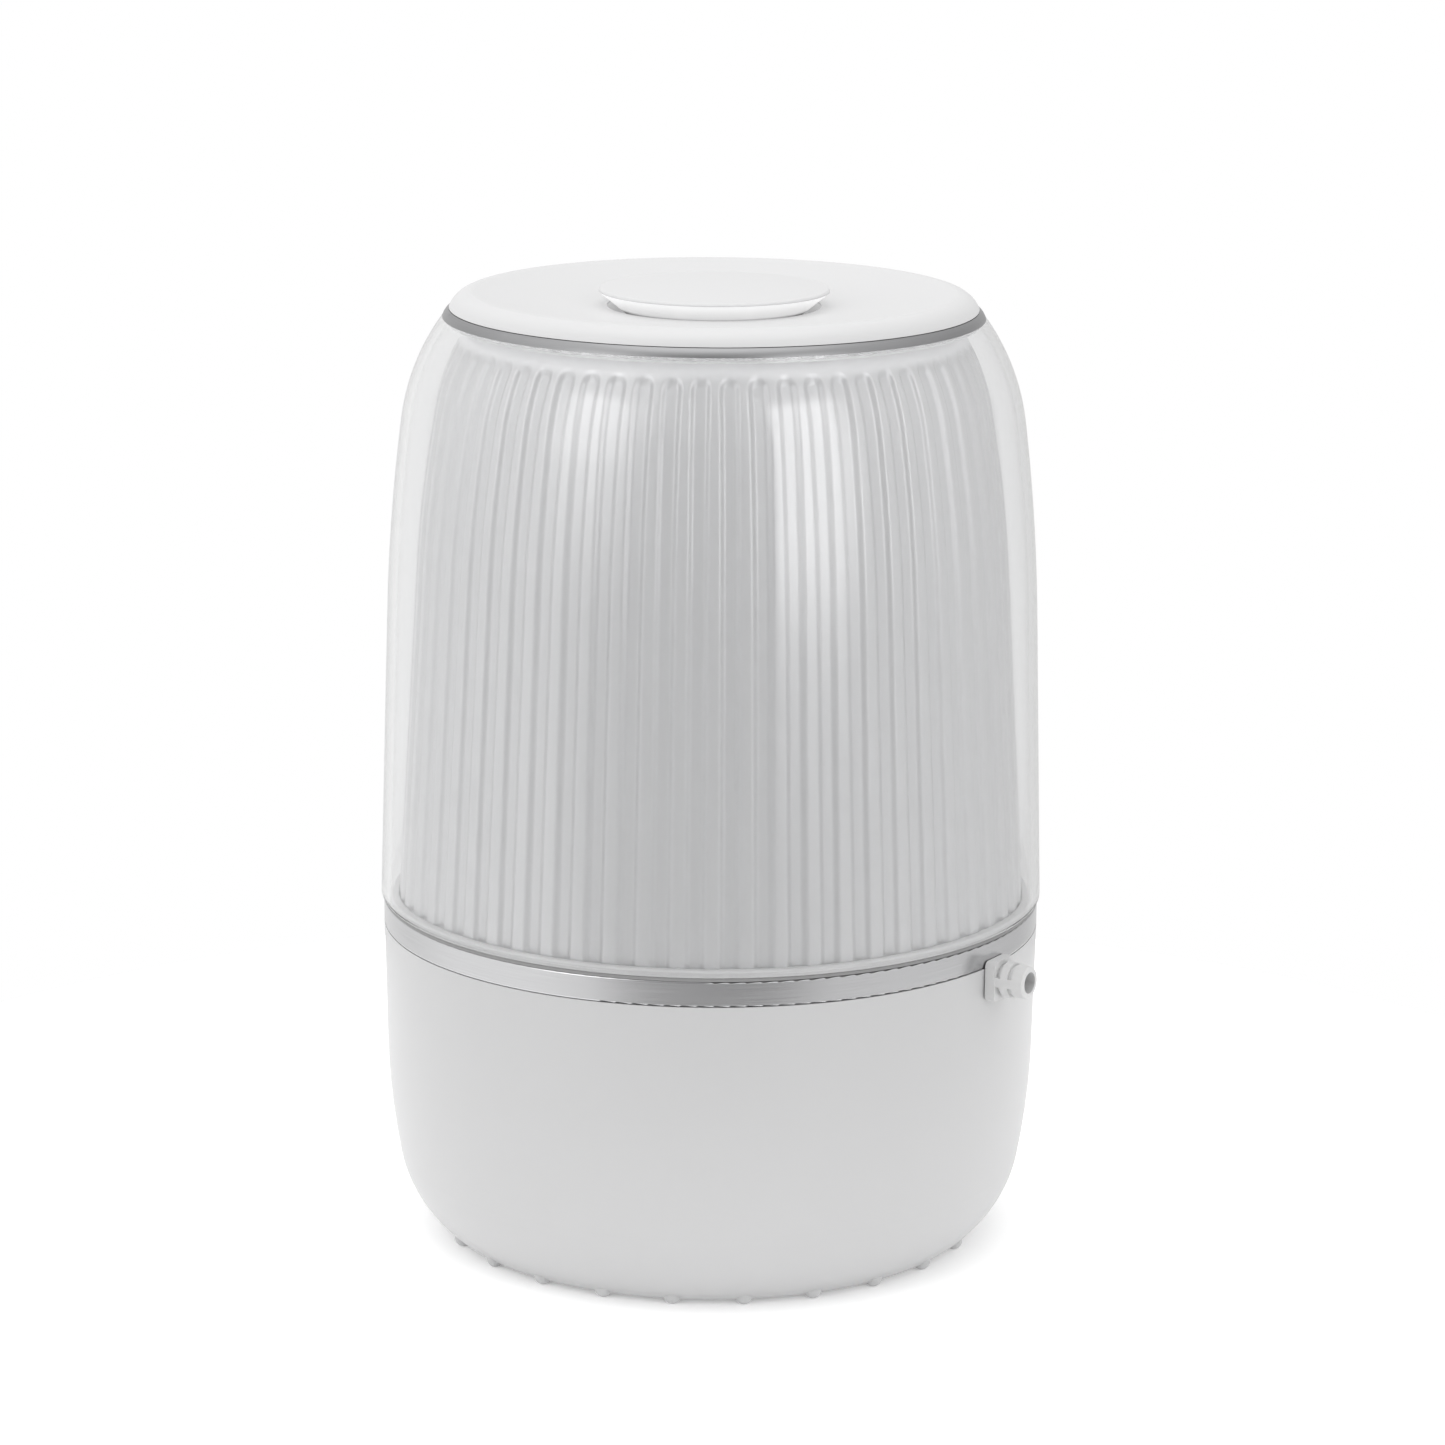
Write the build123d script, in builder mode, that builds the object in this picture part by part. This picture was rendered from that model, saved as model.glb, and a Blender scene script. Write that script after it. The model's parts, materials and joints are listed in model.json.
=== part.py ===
from build123d import *
from math import cos, radians, sin, sqrt, tan
import os

os.makedirs("parts", exist_ok=True)

# Table-top air purifier. A white bowl holds a ring filter behind a twist-off hatch, a fan deck above it
# blows air up a central duct, and a clear dome with a fluted shade inside lifts off the bowl's silver band.
# Millimetres, Z up, the axis of the body on Z, the floor at zero and the front towards -Y.

# Bowl and silver band
body_radius = 95.0
band_level = 92.0
band_height = 7.4
band_edge = 0.6
foot_level = 1.2
bowl_lean = 1.12
bowl_waist = 10.48
bowl_tuck = 53.6
bowl_sweep = 210.8
bowl_corner = 35.05
case_wall = 2.6
spigot_wall = 2.0
spigot_root = 6.0

# Foot nubs under the bowl
nub_count = 24
nub_radius = 2.6
nub_inset = 0.2
nub_flat = 0.25

# Louvres at the back of the bowl
louvre_count = 13
louvre_pitch = 5.0
louvre_width = 2.6
louvre_height = 36.0
louvre_drop = 6.0
louvre_angle = 90.0

# Clear dome and its trim ring
dome_overhang = 0.8
dome_top = 268.2
dome_lean = 1.69
dome_waist = 7.53
dome_tuck = 36.7
dome_sweep = 544.2
dome_corner = 62.35
dome_wall = 2.6
dome_lip_width = 16.0
dome_lip = 2.4
dome_rim_round = 0.9
seal_height = 0.7
seal_width = 1.7
trim_height = 2.4
trim_width = 4.1
trim_bulge = 0.25

# Fluted shade
shade_gap = 5.3
shade_lift = 1.1
shade_lean = 3.4
shade_waist = 11.0
shade_tuck = 35.7
shade_sweep = 357.0
shade_corner = 55.5
shade_wall = 2.4
shade_flange = 11.0
skirt_step = 0.5
skirt_depth = 8.0
flute_count = 60
flute_width = 7.0
flute_depth = 1.0
flute_foot = 0.9
flute_tuck = 27.5

# Top cap with its dish
cap_wall = 2.2
cap_edge_gap = 0.2
cap_edge_inset = 0.1
cap_rise = 4.5
cap_crown_width = 6.6
cap_crest_fillet = 3.0
cap_skirt_wall = 2.4
cap_collar = 6.8
cap_boss = 3.5
cap_bite = 4.0
cap_screw_count = 4
dish_depth = 4.1
outlet_radius = 30.5

# Mushroom button in the dish
button_radius = 32.8
button_lift = 5.0
button_crown = 1.2
button_edge = 0.8
button_drop = 2.6
button_foot_radius = 24.5
button_wall = 2.3
button_travel = 2.0
stem_radius = 4.0
clip_radius = 7.0
clip_height = 0.9
clip_groove = 1.0
clip_opening = 5.0
spring_radius = 6.6
spring_wire = 0.9
spring_turns = 5

# Outlet grille below the dish
grille_flange = 2.4
grille_ear = 3.5
sleeve_wall = 2.0
sleeve_depth = 18.0
vane_count = 6
vane_height = 6.0
vane_thickness = 1.8
hub_radius = 9.0
hub_depth = 8.5
grille_screw_count = 4
grille_screw_inset = 1.5

# Fan deck, duct and fan housing
deck_drop = 3.6
deck_thickness = 3.2
deck_screw_count = 6
ledge_width = 7.0
ledge_depth = 6.0
inlet_lip = 2.4
inlet_lip_height = 2.4
inlet_round = 2.0
housing_wall = 2.0
housing_flange = 9.6
housing_flange_thickness = 2.4
housing_flange_gap = 3.0
housing_barrel = 20.8
housing_height = 38.8
housing_collar = 8.0
housing_screw_count = 4
duct_radius = 32.0
duct_wall = 2.0
duct_overlap = 3.6
duct_seat_depth = 10.0
duct_seat_step = 0.9

# Motor, shaft and impeller
motor_radius = 18.0
motor_height = 21.5
motor_end = 5.5
motor_wall = 1.6
bearing_radius = 5.0
bearing_height = 4.0
bearing_cover = 1.0
shaft_radius = 2.0
rotor_radius = 9.6
stator_gap = 0.6
stator_slots = 6
stator_slot = 4.0
stator_slot_width = 5.0
stator_mouth = 1.6
mount_ring = 2.1
mount_height = 8.0
mount_plate = 3.0
mount_plate_radius = 19.0
mount_arm = 2.4
mount_arm_count = 4
motor_screw_circle = 12.5
motor_screw_count = 3
impeller_play = 6.4
impeller_plate = 2.0
impeller_gap = 2.0
impeller_floor_gap = 3.2
impeller_shroud = 1.6
shroud_width = 7.0
eye_gap = 0.6
blade_count = 11
blade_root = 16.0
blade_thickness = 1.6
blade_bow = 5.0
blade_sweep = 48.0
impeller_hub_radius = 6.5
impeller_hub_length = 13.5
nut_radius = 4.2
nut_height = 3.0

# Ring filter
filter_play = 1.3
filter_core_lip = 3.7
filter_cap = 3.5
filter_cap_round = 1.0
pleat_count = 48
pleat_depth = 16.0
pleat_fold = 4.0
pleat_margin = 2.0
carbon_wall = 4.0
carbon_gap = 0.8
filter_seal_height = 3.4
filter_seal_width = 9.0

# Twist-off hatch
hatch_lift = 2.4
hatch_thickness = 2.6
hatch_edge = 0.8
foot_land = 3.2
hatch_lip_height = 3.0
hatch_lip_gap = 0.5
lug_count = 4
lug_reach = 2.6
lug_height = 2.5
lug_angle = 18.0
lug_notch_play = 4.0
hatch_twist = 25.0
collar_wall = 2.4
grip_radius = 19.0
grip_depth = 8.0
grip_bar = 9.0

# Boards and their parts
post_height = 5.0
post_radius = 2.6
board_thickness = 1.6
light_ring_gap = 4.4
light_ring_width = 10.0
light_ring_break = 30.0
light_post_count = 6
light_count = 24
light_size = 3.0
light_height = 1.2
board_gap = 3.0
board_width = 12.0
board_start = -85.0
board_arc = 110.0
board_post_angles = (-77.0, -30.0, 17.0)
capacitor_radius = 4.0
capacitor_height = 12.0
transformer_size = 11.0
transformer_height = 9.0
socket_width = 8.0
socket_depth = 6.0
socket_height = 6.0
chip_size = 6.0
chip_height = 1.6
capacitor_angles = (-47.0, -38.5)
transformer_angle = -13.0
chip_angle = 3.0

# Switch under the button
switch_ring = 2.2
switch_ring_height = 5.0
switch_plate = 3.0
switch_plate_radius = 10.0
switch_arm = 2.0
switch_arm_count = 3
switch_board_radius = 9.0
switch_size = 6.0
switch_height = 3.0
plunger_radius = 1.7
plunger_height = 0.4
plunger_gap = 0.05
lead_radius = 1.1
lead_angle = -60.0
lead_bend_share = 0.45
lead_exit_rise = 48.0
lead_exit_drop = 16.0
lead_stand_off = 7.0

# Ribbed cord gland
gland_angle = -32.5
gland_drop = 3.5
gland_flange = 11.4
gland_flange_thickness = 3.0
gland_corner = 1.6
gland_root_radius = 5.4
gland_end_radius = 4.5
gland_boot = 8.2
gland_end_round = 0.6
gland_slot = 1.3
gland_rib = 2.2
gland_slot_depth = 1.2
gland_bridge = 2.6
gland_bore = 3.05
gland_neck = 8.0
gland_back = 2.4
gland_back_height = 9.0

# Screws
screw_radius = 1.4
screw_head = 2.6
screw_head_height = 1.8
screw_bite = 5.0
screw_start = 45.0

# Clearances
slide_gap = 0.4
lift_gap = 0.3
seat_gap = 0.2
fit_gap = 0.05

# Levels and radii that follow from the sizes above
band_top = band_level + band_height
dome_level = band_top + seal_height + lift_gap
dome_rim = body_radius + dome_overhang
shade_rim = dome_rim - shade_gap
shade_level = dome_level + shade_lift
shade_top = dome_top - dome_lip
skirt_radius = shade_rim - skirt_step
skirt_level = shade_level - skirt_depth
spigot_inner = skirt_radius + slide_gap
spigot_outer = spigot_inner + spigot_wall
band_inner = spigot_outer + seat_gap
gland_level = band_level - gland_drop
deck_top = gland_level - gland_flange / 2 - deck_drop
deck_level = deck_top - deck_thickness
louvre_level = deck_level - ledge_depth - louvre_drop - louvre_height / 2
post_top = deck_top + post_height
board_top = post_top + board_thickness


def meridian(angle):
    """Plane through the axis, with x outwards at the given angle and y upwards."""
    turn = radians(angle)
    return Plane(origin=(0, 0, 0), x_dir=(cos(turn), sin(turn), 0), z_dir=(sin(turn), -cos(turn), 0))


def spot(radius, angle, level):
    """Place at a radius, an angle and a level, turned to face outwards."""
    turn = radians(angle)
    return Location((radius * cos(turn), radius * sin(turn), level), (0, 0, angle))


def straight_run(rise, lean, waist, tuck, sweep, corner):
    """Length of a wall's straight part, once its two arcs have taken their share of the rise."""
    lean, waist, tuck = radians(lean), radians(waist), radians(tuck)
    arcs = sweep * (sin(waist) - sin(lean)) + corner * (sin(tuck) - sin(waist))
    return (rise - arcs) / cos(lean)


def flank(rim, run, lean, waist, tuck, sweep, corner, inset=0.0):
    """Six points of a wall that runs straight and then turns in along two tangent arcs, from its rim."""
    lean, waist, tuck = radians(lean), radians(waist), radians(tuck)

    def spoke(centre, reach, angle):
        return centre + Vector(cos(angle), sin(angle)) * reach

    knee = Vector(rim - run * sin(lean), run * cos(lean))
    sweep_centre = spoke(knee, -sweep, lean)
    corner_centre = spoke(spoke(sweep_centre, sweep, waist), -corner, waist)
    return [
        Vector(rim - inset / cos(lean), 0),
        spoke(sweep_centre, sweep - inset, lean),
        spoke(sweep_centre, sweep - inset, (lean + waist) / 2),
        spoke(sweep_centre, sweep - inset, waist),
        spoke(corner_centre, corner - inset, (waist + tuck) / 2),
        spoke(corner_centre, corner - inset, tuck),
    ]


def draw_flank(points):
    """Line and two arcs through the six points of a wall."""
    Line(points[0], points[1])
    ThreePointArc(points[1], points[2], points[3])
    ThreePointArc(points[3], points[4], points[5])


def fill_flank(points, mode=Mode.ADD):
    """Half section of the round form inside a wall."""
    with BuildLine() as outline:
        draw_flank(points)
        Polyline(points[-1], (0, points[-1].Y), (0, points[0].Y), points[0])
    make_face(outline.line, mode=mode)


def fill_ring(inner, outer, bottom, top, mode=Mode.ADD):
    """Rectangle in a half section, from one radius to another."""
    with Locations(((inner + outer) / 2, (bottom + top) / 2)):
        Rectangle(outer - inner, top - bottom, mode=mode)


def fill_outline(points, mode=Mode.ADD):
    """Straight-sided shape in a half section."""
    with BuildLine() as outline:
        Polyline(*points, close=True)
    make_face(outline.line, mode=mode)


def screws(radius, count, start, level, length, up=False, arc=360.0):
    """Ring of pan-head screws whose heads bear at a level, with shanks that go down or up from it."""
    sign = 1 if up else -1
    with PolarLocations(radius, count, start, arc):
        with Locations((0, 0, level - sign * screw_head_height / 2)):
            Cylinder(screw_head, screw_head_height)
        with Locations((0, 0, level + sign * length / 2)):
            Cylinder(screw_radius, length)


def bowl_points(inset=0.0):
    """Outline of the bowl from the band down to its foot, with its wall's inner face at an inset."""
    run = straight_run(band_level - foot_level, bowl_lean, bowl_waist, bowl_tuck, bowl_sweep, bowl_corner)
    points = flank(body_radius, run, bowl_lean, bowl_waist, bowl_tuck, bowl_sweep, bowl_corner, inset)
    return [Vector(p.X, band_level - p.Y) for p in points]


def bowl_radius(level):
    """Outer radius of the bowl on its straight upper wall."""
    return body_radius - (band_level - level) * tan(radians(bowl_lean))


def dome_points(inset=0.0):
    """Outline of the clear dome from its rim up to its flat top."""
    run = straight_run(dome_top - dome_level, dome_lean, dome_waist, dome_tuck, dome_sweep, dome_corner)
    points = flank(dome_rim, run, dome_lean, dome_waist, dome_tuck, dome_sweep, dome_corner, inset)
    return [Vector(p.X, dome_level + p.Y) for p in points]


def shade_points(inset=0.0, tuck=shade_tuck):
    """Outline of the shade from the top of its skirt up to its flange."""
    rise = shade_top - shade_level
    run = straight_run(rise, shade_lean, shade_waist, shade_tuck, shade_sweep, shade_corner)
    points = flank(shade_rim, run, shade_lean, shade_waist, tuck, shade_sweep, shade_corner, inset)
    return [Vector(p.X, shade_level + p.Y) for p in points]


# Radii that follow from the outlines
foot_radius = bowl_points()[-1].X
hatch_recess = foot_radius - foot_land
hatch_radius = hatch_recess - slide_gap
hatch_top = hatch_lift + hatch_thickness
lip_level = hatch_top + hatch_lip_gap
lip_top = lip_level + hatch_lip_height
hatch_bore = hatch_recess - lug_reach - 2 * slide_gap
lug_radius = hatch_bore + lug_reach
lug_level = lip_top + lift_gap
collar_radius = hatch_bore - slide_gap
dome_top_radius = dome_points()[-1].X
dome_lip_radius = dome_top_radius - dome_lip_width
shade_top_radius = shade_points()[-1].X
deck_radius = bowl_radius(deck_level) - case_wall - slide_gap
ledge_radius = deck_radius - ledge_width
deck_screw_circle = deck_radius - ledge_width / 2
trim_inner = dome_top_radius - trim_width
trim_top = dome_top + trim_height
gland_axis = Plane(
    origin=spot(0, gland_angle, gland_level).position,
    x_dir=(-sin(radians(gland_angle)), cos(radians(gland_angle)), 0),
    z_dir=(cos(radians(gland_angle)), sin(radians(gland_angle)), 0),
)
gland_face = body_radius + seat_gap
gland_inner_face = sqrt((bowl_radius(gland_level) - case_wall) ** 2 - (gland_flange / 2) ** 2) - seat_gap
gland_end = gland_face + gland_flange_thickness + gland_boot
trim_radius = dome_top_radius - trim_height * tan(radians(dome_tuck))
cap_radius = trim_radius - cap_edge_inset
cap_level = trim_top + cap_edge_gap
cap_skirt = trim_inner - seat_gap
crest_radius = cap_radius - cap_crown_width
crest_level = cap_level + cap_rise
dish_level = crest_level - dish_depth
cap_screw_circle = dome_lip_radius + cap_boss
grille_top = dish_level - cap_collar
grille_level = grille_top - grille_flange
duct_outer = duct_radius + duct_wall
duct_top = grille_top - sleeve_depth + duct_overlap
sleeve_inner = duct_outer + slide_gap
sleeve_outer = sleeve_inner + sleeve_wall
grille_bore = min(outlet_radius, sleeve_inner)
grille_screw_circle = max(sleeve_outer, outlet_radius + cap_wall) + screw_head + grille_screw_inset
hub_bottom = grille_level - hub_depth
switch_level = duct_top - duct_seat_depth
switch_plate_top = switch_level + switch_plate
switch_board_top = switch_plate_top + board_thickness
switch_top = switch_board_top + switch_height + plunger_height
bracket_outer = duct_radius + duct_seat_step - seat_gap
button_rim = dish_level + button_lift
crown_top = button_rim + button_crown
button_foot = dish_level - button_drop
button_hollow = button_rim - button_wall - button_edge
button_slope = (button_radius - button_foot_radius) / (button_rim - button_edge - button_foot)
button_hollow_radius = button_foot_radius - button_wall + button_slope * (button_hollow - button_foot)
stem_tip = switch_top + button_travel + plunger_gap
clip_level = hub_bottom - lift_gap - clip_height
spring_rise = button_hollow - lift_gap - spring_wire - grille_top
light_ring_outer = spigot_inner - light_ring_gap
light_ring_inner = light_ring_outer - light_ring_width
light_circle = (light_ring_inner + light_ring_outer) / 2
light_arc = 360 - light_ring_break
light_start = gland_angle + light_ring_break / 2
light_post_start = light_start + light_arc / light_post_count / 2
board_outer = light_ring_inner - board_gap
board_inner = board_outer - board_width
board_circle = (board_inner + board_outer) / 2
housing_outer = board_inner - housing_flange_gap - housing_flange
housing_radius = housing_outer - housing_wall
housing_flange_top = deck_top + housing_flange_thickness
housing_screw_circle = housing_outer + housing_flange / 2
housing_neck_level = deck_top + housing_height
barrel_top = deck_top + housing_barrel
collar_inner = duct_outer + seat_gap
collar_outer = collar_inner + housing_wall
neck_bore = duct_radius - mount_ring
impeller_radius = housing_radius - impeller_play
impeller_eye = impeller_radius - shroud_width
inlet_radius = impeller_eye - eye_gap - inlet_lip
mount_top = housing_neck_level + mount_height
motor_top = mount_top - mount_plate
motor_bottom = motor_top - motor_height
plate_top = motor_bottom - impeller_gap
plate_bottom = plate_top - impeller_plate
shroud_top = deck_top + impeller_floor_gap + impeller_shroud
hub_foot = plate_top - impeller_hub_length
filter_radius = collar_radius - collar_wall - filter_play
filter_low = hatch_top + lift_gap + filter_cap
filter_high = deck_level - filter_seal_height - filter_cap
pleat_outer = filter_radius - pleat_margin
carbon_outer = pleat_outer - pleat_depth - pleat_fold - carbon_gap
filter_core = carbon_outer - carbon_wall - filter_core_lip
lug_top = lug_level + lug_height
lead_drop_radius = duct_radius - 3 * lead_radius
lead_exit_level = housing_neck_level + lead_exit_rise
lead_foot_radius = housing_outer + 2 * lead_radius
socket_level = board_top + socket_height / 2

# One foot nub: a ball with a small flat to stand on
with BuildPart() as nub:
    with Locations((0, 0, nub_radius - nub_flat)):
        Sphere(nub_radius)
    split(bisect_by=Plane.XY, keep=Keep.TOP)

# White bowl: one turned section, then the nubs, bayonet notches, louvres and the gland's slot
with BuildPart() as base_shell:
    with BuildSketch(Plane.XZ, mode=Mode.PRIVATE) as bowl_hollow:
        fill_flank(bowl_points(case_wall))
        fill_ring(0, body_radius, 0, lip_top, mode=Mode.SUBTRACT)
        fill_ring(ledge_radius, body_radius, deck_level - ledge_depth, deck_level, mode=Mode.SUBTRACT)
        fill_ring(spigot_inner, body_radius, band_level - spigot_root, band_level, mode=Mode.SUBTRACT)
    with BuildSketch(Plane.XZ):
        fill_flank(bowl_points())
        add(bowl_hollow.sketch_local, mode=Mode.SUBTRACT)
        fill_ring(spigot_inner, spigot_outer, band_level, band_top - seat_gap)
        fill_ring(0, hatch_bore, 0, lip_top, mode=Mode.SUBTRACT)
        fill_ring(0, hatch_recess, 0, lip_level, mode=Mode.SUBTRACT)
    revolve(axis=Axis.Z)
    with PolarLocations(foot_radius - nub_inset, nub_count, start_angle=180 / nub_count):
        add(nub.part)
    notch_half = lug_angle / 2 + lug_notch_play / 2
    with BuildSketch(*[meridian(hatch_twist - notch_half + i * 360 / lug_count) for i in range(lug_count)]):
        fill_ring(hatch_bore - slide_gap, lug_radius + slide_gap, lip_level - slide_gap, lip_top + slide_gap)
    revolve(axis=Axis.Z, revolution_arc=2 * notch_half, mode=Mode.SUBTRACT)
    louvre_first = louvre_angle - louvre_pitch * (louvre_count - 1) / 2
    louvre_planes = [
        Plane(
            origin=(0, 0, louvre_level),
            x_dir=(0, 0, 1),
            z_dir=spot(1, louvre_first + louvre_pitch * i, 0).position,
        )
        for i in range(louvre_count)
    ]
    with BuildSketch(*[plane.offset(filter_radius) for plane in louvre_planes]):
        SlotOverall(louvre_height, louvre_width)
    extrude(amount=body_radius - filter_radius + dome_overhang, mode=Mode.SUBTRACT)
    with BuildSketch(gland_axis.offset(ledge_radius)):
        with Locations((0, band_height)):
            Rectangle(gland_neck + 2 * seat_gap, gland_neck + 2 * band_height + 2 * seat_gap)
    extrude(amount=body_radius - ledge_radius, mode=Mode.SUBTRACT)
    with BuildSketch(gland_axis.offset(ledge_radius)):
        with Locations((0, band_height)):
            Rectangle(gland_flange + 2 * seat_gap, gland_back_height + 2 * band_height + 2 * seat_gap)
    extrude(amount=gland_inner_face + seat_gap - ledge_radius, mode=Mode.SUBTRACT)
    with Locations((0, 0, deck_level - ledge_depth / 2)):
        with PolarLocations(deck_screw_circle, deck_screw_count):
            Cylinder(screw_radius + fit_gap, ledge_depth, mode=Mode.SUBTRACT)
base_shell.part.label = "base_shell"
export_step(base_shell.part, "parts/base_shell.step")

# Silver band round the joint, notched behind the gland's flange
with BuildPart() as silver_band:
    with BuildSketch(Plane.XZ):
        fill_ring(band_inner, body_radius, band_level, band_top)
    revolve(axis=Axis.Z)
    fillet(silver_band.edges().filter_by(GeomType.CIRCLE).group_by(SortBy.RADIUS)[-1], band_edge)
    with BuildSketch(gland_axis.offset(ledge_radius)):
        Rectangle(gland_neck + 2 * seat_gap, gland_neck + 2 * seat_gap)
    extrude(amount=gland_face - ledge_radius, mode=Mode.SUBTRACT)
silver_band.part.label = "silver_band"
export_step(silver_band.part, "parts/silver_band.step")

# Dark seal that the dome stands on
with BuildPart() as dome_seal:
    with BuildSketch(Plane.XZ):
        fill_ring(band_inner + seat_gap, band_inner + seat_gap + seal_width, band_top, band_top + seal_height)
    revolve(axis=Axis.Z)
dome_seal.part.label = "dome_seal"
export_step(dome_seal.part, "parts/dome_seal.step")

# Clear dome, with a lip at the top that carries the shade, the trim ring and the cap
with BuildPart() as outer_dome:
    with BuildSketch(Plane.XZ, mode=Mode.PRIVATE) as dome_hollow:
        fill_flank(dome_points(dome_wall))
        fill_ring(0, dome_rim, shade_top, dome_top, mode=Mode.SUBTRACT)
    with BuildSketch(Plane.XZ):
        fill_flank(dome_points())
        add(dome_hollow.sketch_local, mode=Mode.SUBTRACT)
        fill_ring(0, dome_lip_radius, dome_level, dome_top, mode=Mode.SUBTRACT)
    revolve(axis=Axis.Z)
    fillet(outer_dome.edges().filter_by(GeomType.CIRCLE).group_by(Axis.Z)[0], dome_rim_round)
    with Locations((0, 0, dome_top - dome_lip / 2)):
        with PolarLocations(cap_screw_circle, cap_screw_count, screw_start):
            Cylinder(screw_radius + seat_gap, dome_lip, mode=Mode.SUBTRACT)
outer_dome.part.label = "outer_dome"
export_step(outer_dome.part, "parts/outer_dome.step")

# One flute: a round groove that follows the shade's outline, with ball ends
flute_radius = (flute_width**2 / 4 + flute_depth**2) / (2 * flute_depth)
flute_line = shade_points(flute_depth - flute_radius, flute_tuck)
flute_start = shade_level + flute_foot + flute_width / 2
flute_line[0] = flute_line[0] + (flute_line[1] - flute_line[0]) * (
    (flute_start - flute_line[0].Y) / (flute_line[1].Y - flute_line[0].Y)
)
with BuildPart() as flute:
    with BuildLine(Plane.XZ) as flute_path:
        draw_flank(flute_line)
    with BuildSketch(Plane(origin=flute_path.line @ 0, z_dir=flute_path.line % 0)):
        Circle(flute_radius)
    sweep(path=flute_path.line)
    with Locations(flute_path.line @ 0, flute_path.line @ 1):
        Sphere(flute_radius)

# Fluted shade inside the dome
with BuildPart() as fluted_shade:
    with BuildSketch(Plane.XZ, mode=Mode.PRIVATE) as shade_hollow:
        fill_flank(shade_points(shade_wall))
        fill_ring(0, shade_rim, shade_top - shade_wall, shade_top, mode=Mode.SUBTRACT)
    with BuildSketch(Plane.XZ):
        fill_flank(shade_points())
        add(shade_hollow.sketch_local, mode=Mode.SUBTRACT)
        fill_ring(0, shade_top_radius - shade_flange, shade_level, shade_top, mode=Mode.SUBTRACT)
        fill_ring(skirt_radius - shade_wall, skirt_radius, skirt_level, shade_level)
    revolve(axis=Axis.Z)
    with PolarLocations(0, flute_count, start_angle=-90):
        add(flute.part, mode=Mode.SUBTRACT)
    with Locations((0, 0, shade_top - shade_wall / 2)):
        with PolarLocations(cap_screw_circle, cap_screw_count, screw_start):
            Cylinder(screw_radius + seat_gap, shade_wall, mode=Mode.SUBTRACT)
fluted_shade.part.label = "fluted_shade"
export_step(fluted_shade.part, "parts/fluted_shade.step")

# Silver trim ring between the dome and the cap
with BuildPart() as cap_ring:
    with BuildSketch(Plane.XZ):
        with BuildLine():
            Polyline(
                (trim_radius, trim_top),
                (trim_inner, trim_top),
                (trim_inner, dome_top),
                (dome_top_radius, dome_top),
            )
            SagittaArc((dome_top_radius, dome_top), (trim_radius, trim_top), -trim_bulge)
        make_face()
    revolve(axis=Axis.Z)
cap_ring.part.label = "cap_ring"
export_step(cap_ring.part, "parts/cap_ring.step")


def fill_cap(drop):
    """Half section of the cap's dish and rounded rim, down to the dome's lip, lowered by a wall."""
    with BuildLine() as outline:
        TangentArc((outlet_radius, dish_level - drop), (crest_radius, crest_level - drop), tangent=(1, 0))
        TangentArc((crest_radius, crest_level - drop), (cap_radius, cap_level - drop), tangent=(1, 0))
        Polyline(
            (cap_radius, cap_level - drop),
            (cap_skirt, cap_level - drop),
            (cap_skirt, dome_top),
            (outlet_radius, dome_top),
            (outlet_radius, dish_level - drop),
        )
    make_face(outline.line)


# White cap: a dished plate on a skirt, with a collar round the outlet and bosses for the grille
with BuildPart() as top_cap:
    with BuildSketch(Plane.XZ, mode=Mode.PRIVATE) as cap_hollow:
        fill_cap(cap_wall)
        fill_ring(
            outlet_radius + cap_wall, cap_skirt - cap_skirt_wall, dome_top, crest_level, mode=Mode.INTERSECT
        )
    with BuildSketch(Plane.XZ):
        fill_cap(0)
        add(cap_hollow.sketch_local, mode=Mode.SUBTRACT)
        fill_ring(outlet_radius, outlet_radius + cap_wall, grille_top, dome_top)
    revolve(axis=Axis.Z)
    fillet(top_cap.edges().filter_by(GeomType.CIRCLE).sort_by(Axis.Z)[-1], cap_crest_fillet)
    grille_boss_top = dish_level - cap_wall / 2
    with PolarLocations(grille_screw_circle, grille_screw_count, screw_start):
        with Locations((0, 0, (grille_top + grille_boss_top) / 2)):
            Cylinder(grille_ear, grille_boss_top - grille_top)
        with Locations((0, 0, grille_top + screw_bite / 2)):
            Cylinder(screw_radius + fit_gap, screw_bite, mode=Mode.SUBTRACT)
    cap_boss_top = crest_level - cap_wall
    with PolarLocations(cap_screw_circle, cap_screw_count, screw_start):
        with Locations((0, 0, (dome_top + cap_boss_top) / 2)):
            Cylinder(cap_boss, cap_boss_top - dome_top)
        with Locations((0, 0, dome_top + cap_bite / 2)):
            Cylinder(screw_radius + fit_gap, cap_bite, mode=Mode.SUBTRACT)
top_cap.part.label = "top_cap"
export_step(top_cap.part, "parts/top_cap.step")

# Screws up through the shade's flange and the dome's lip into the cap
with BuildPart() as cap_screws:
    cap_screw_length = shade_wall + dome_lip + cap_bite - slide_gap
    screws(cap_screw_circle, cap_screw_count, screw_start, shade_top - shade_wall, cap_screw_length, up=True)
cap_screws.part.label = "cap_screws"
export_step(cap_screws.part, "parts/cap_screws.step")

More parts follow.
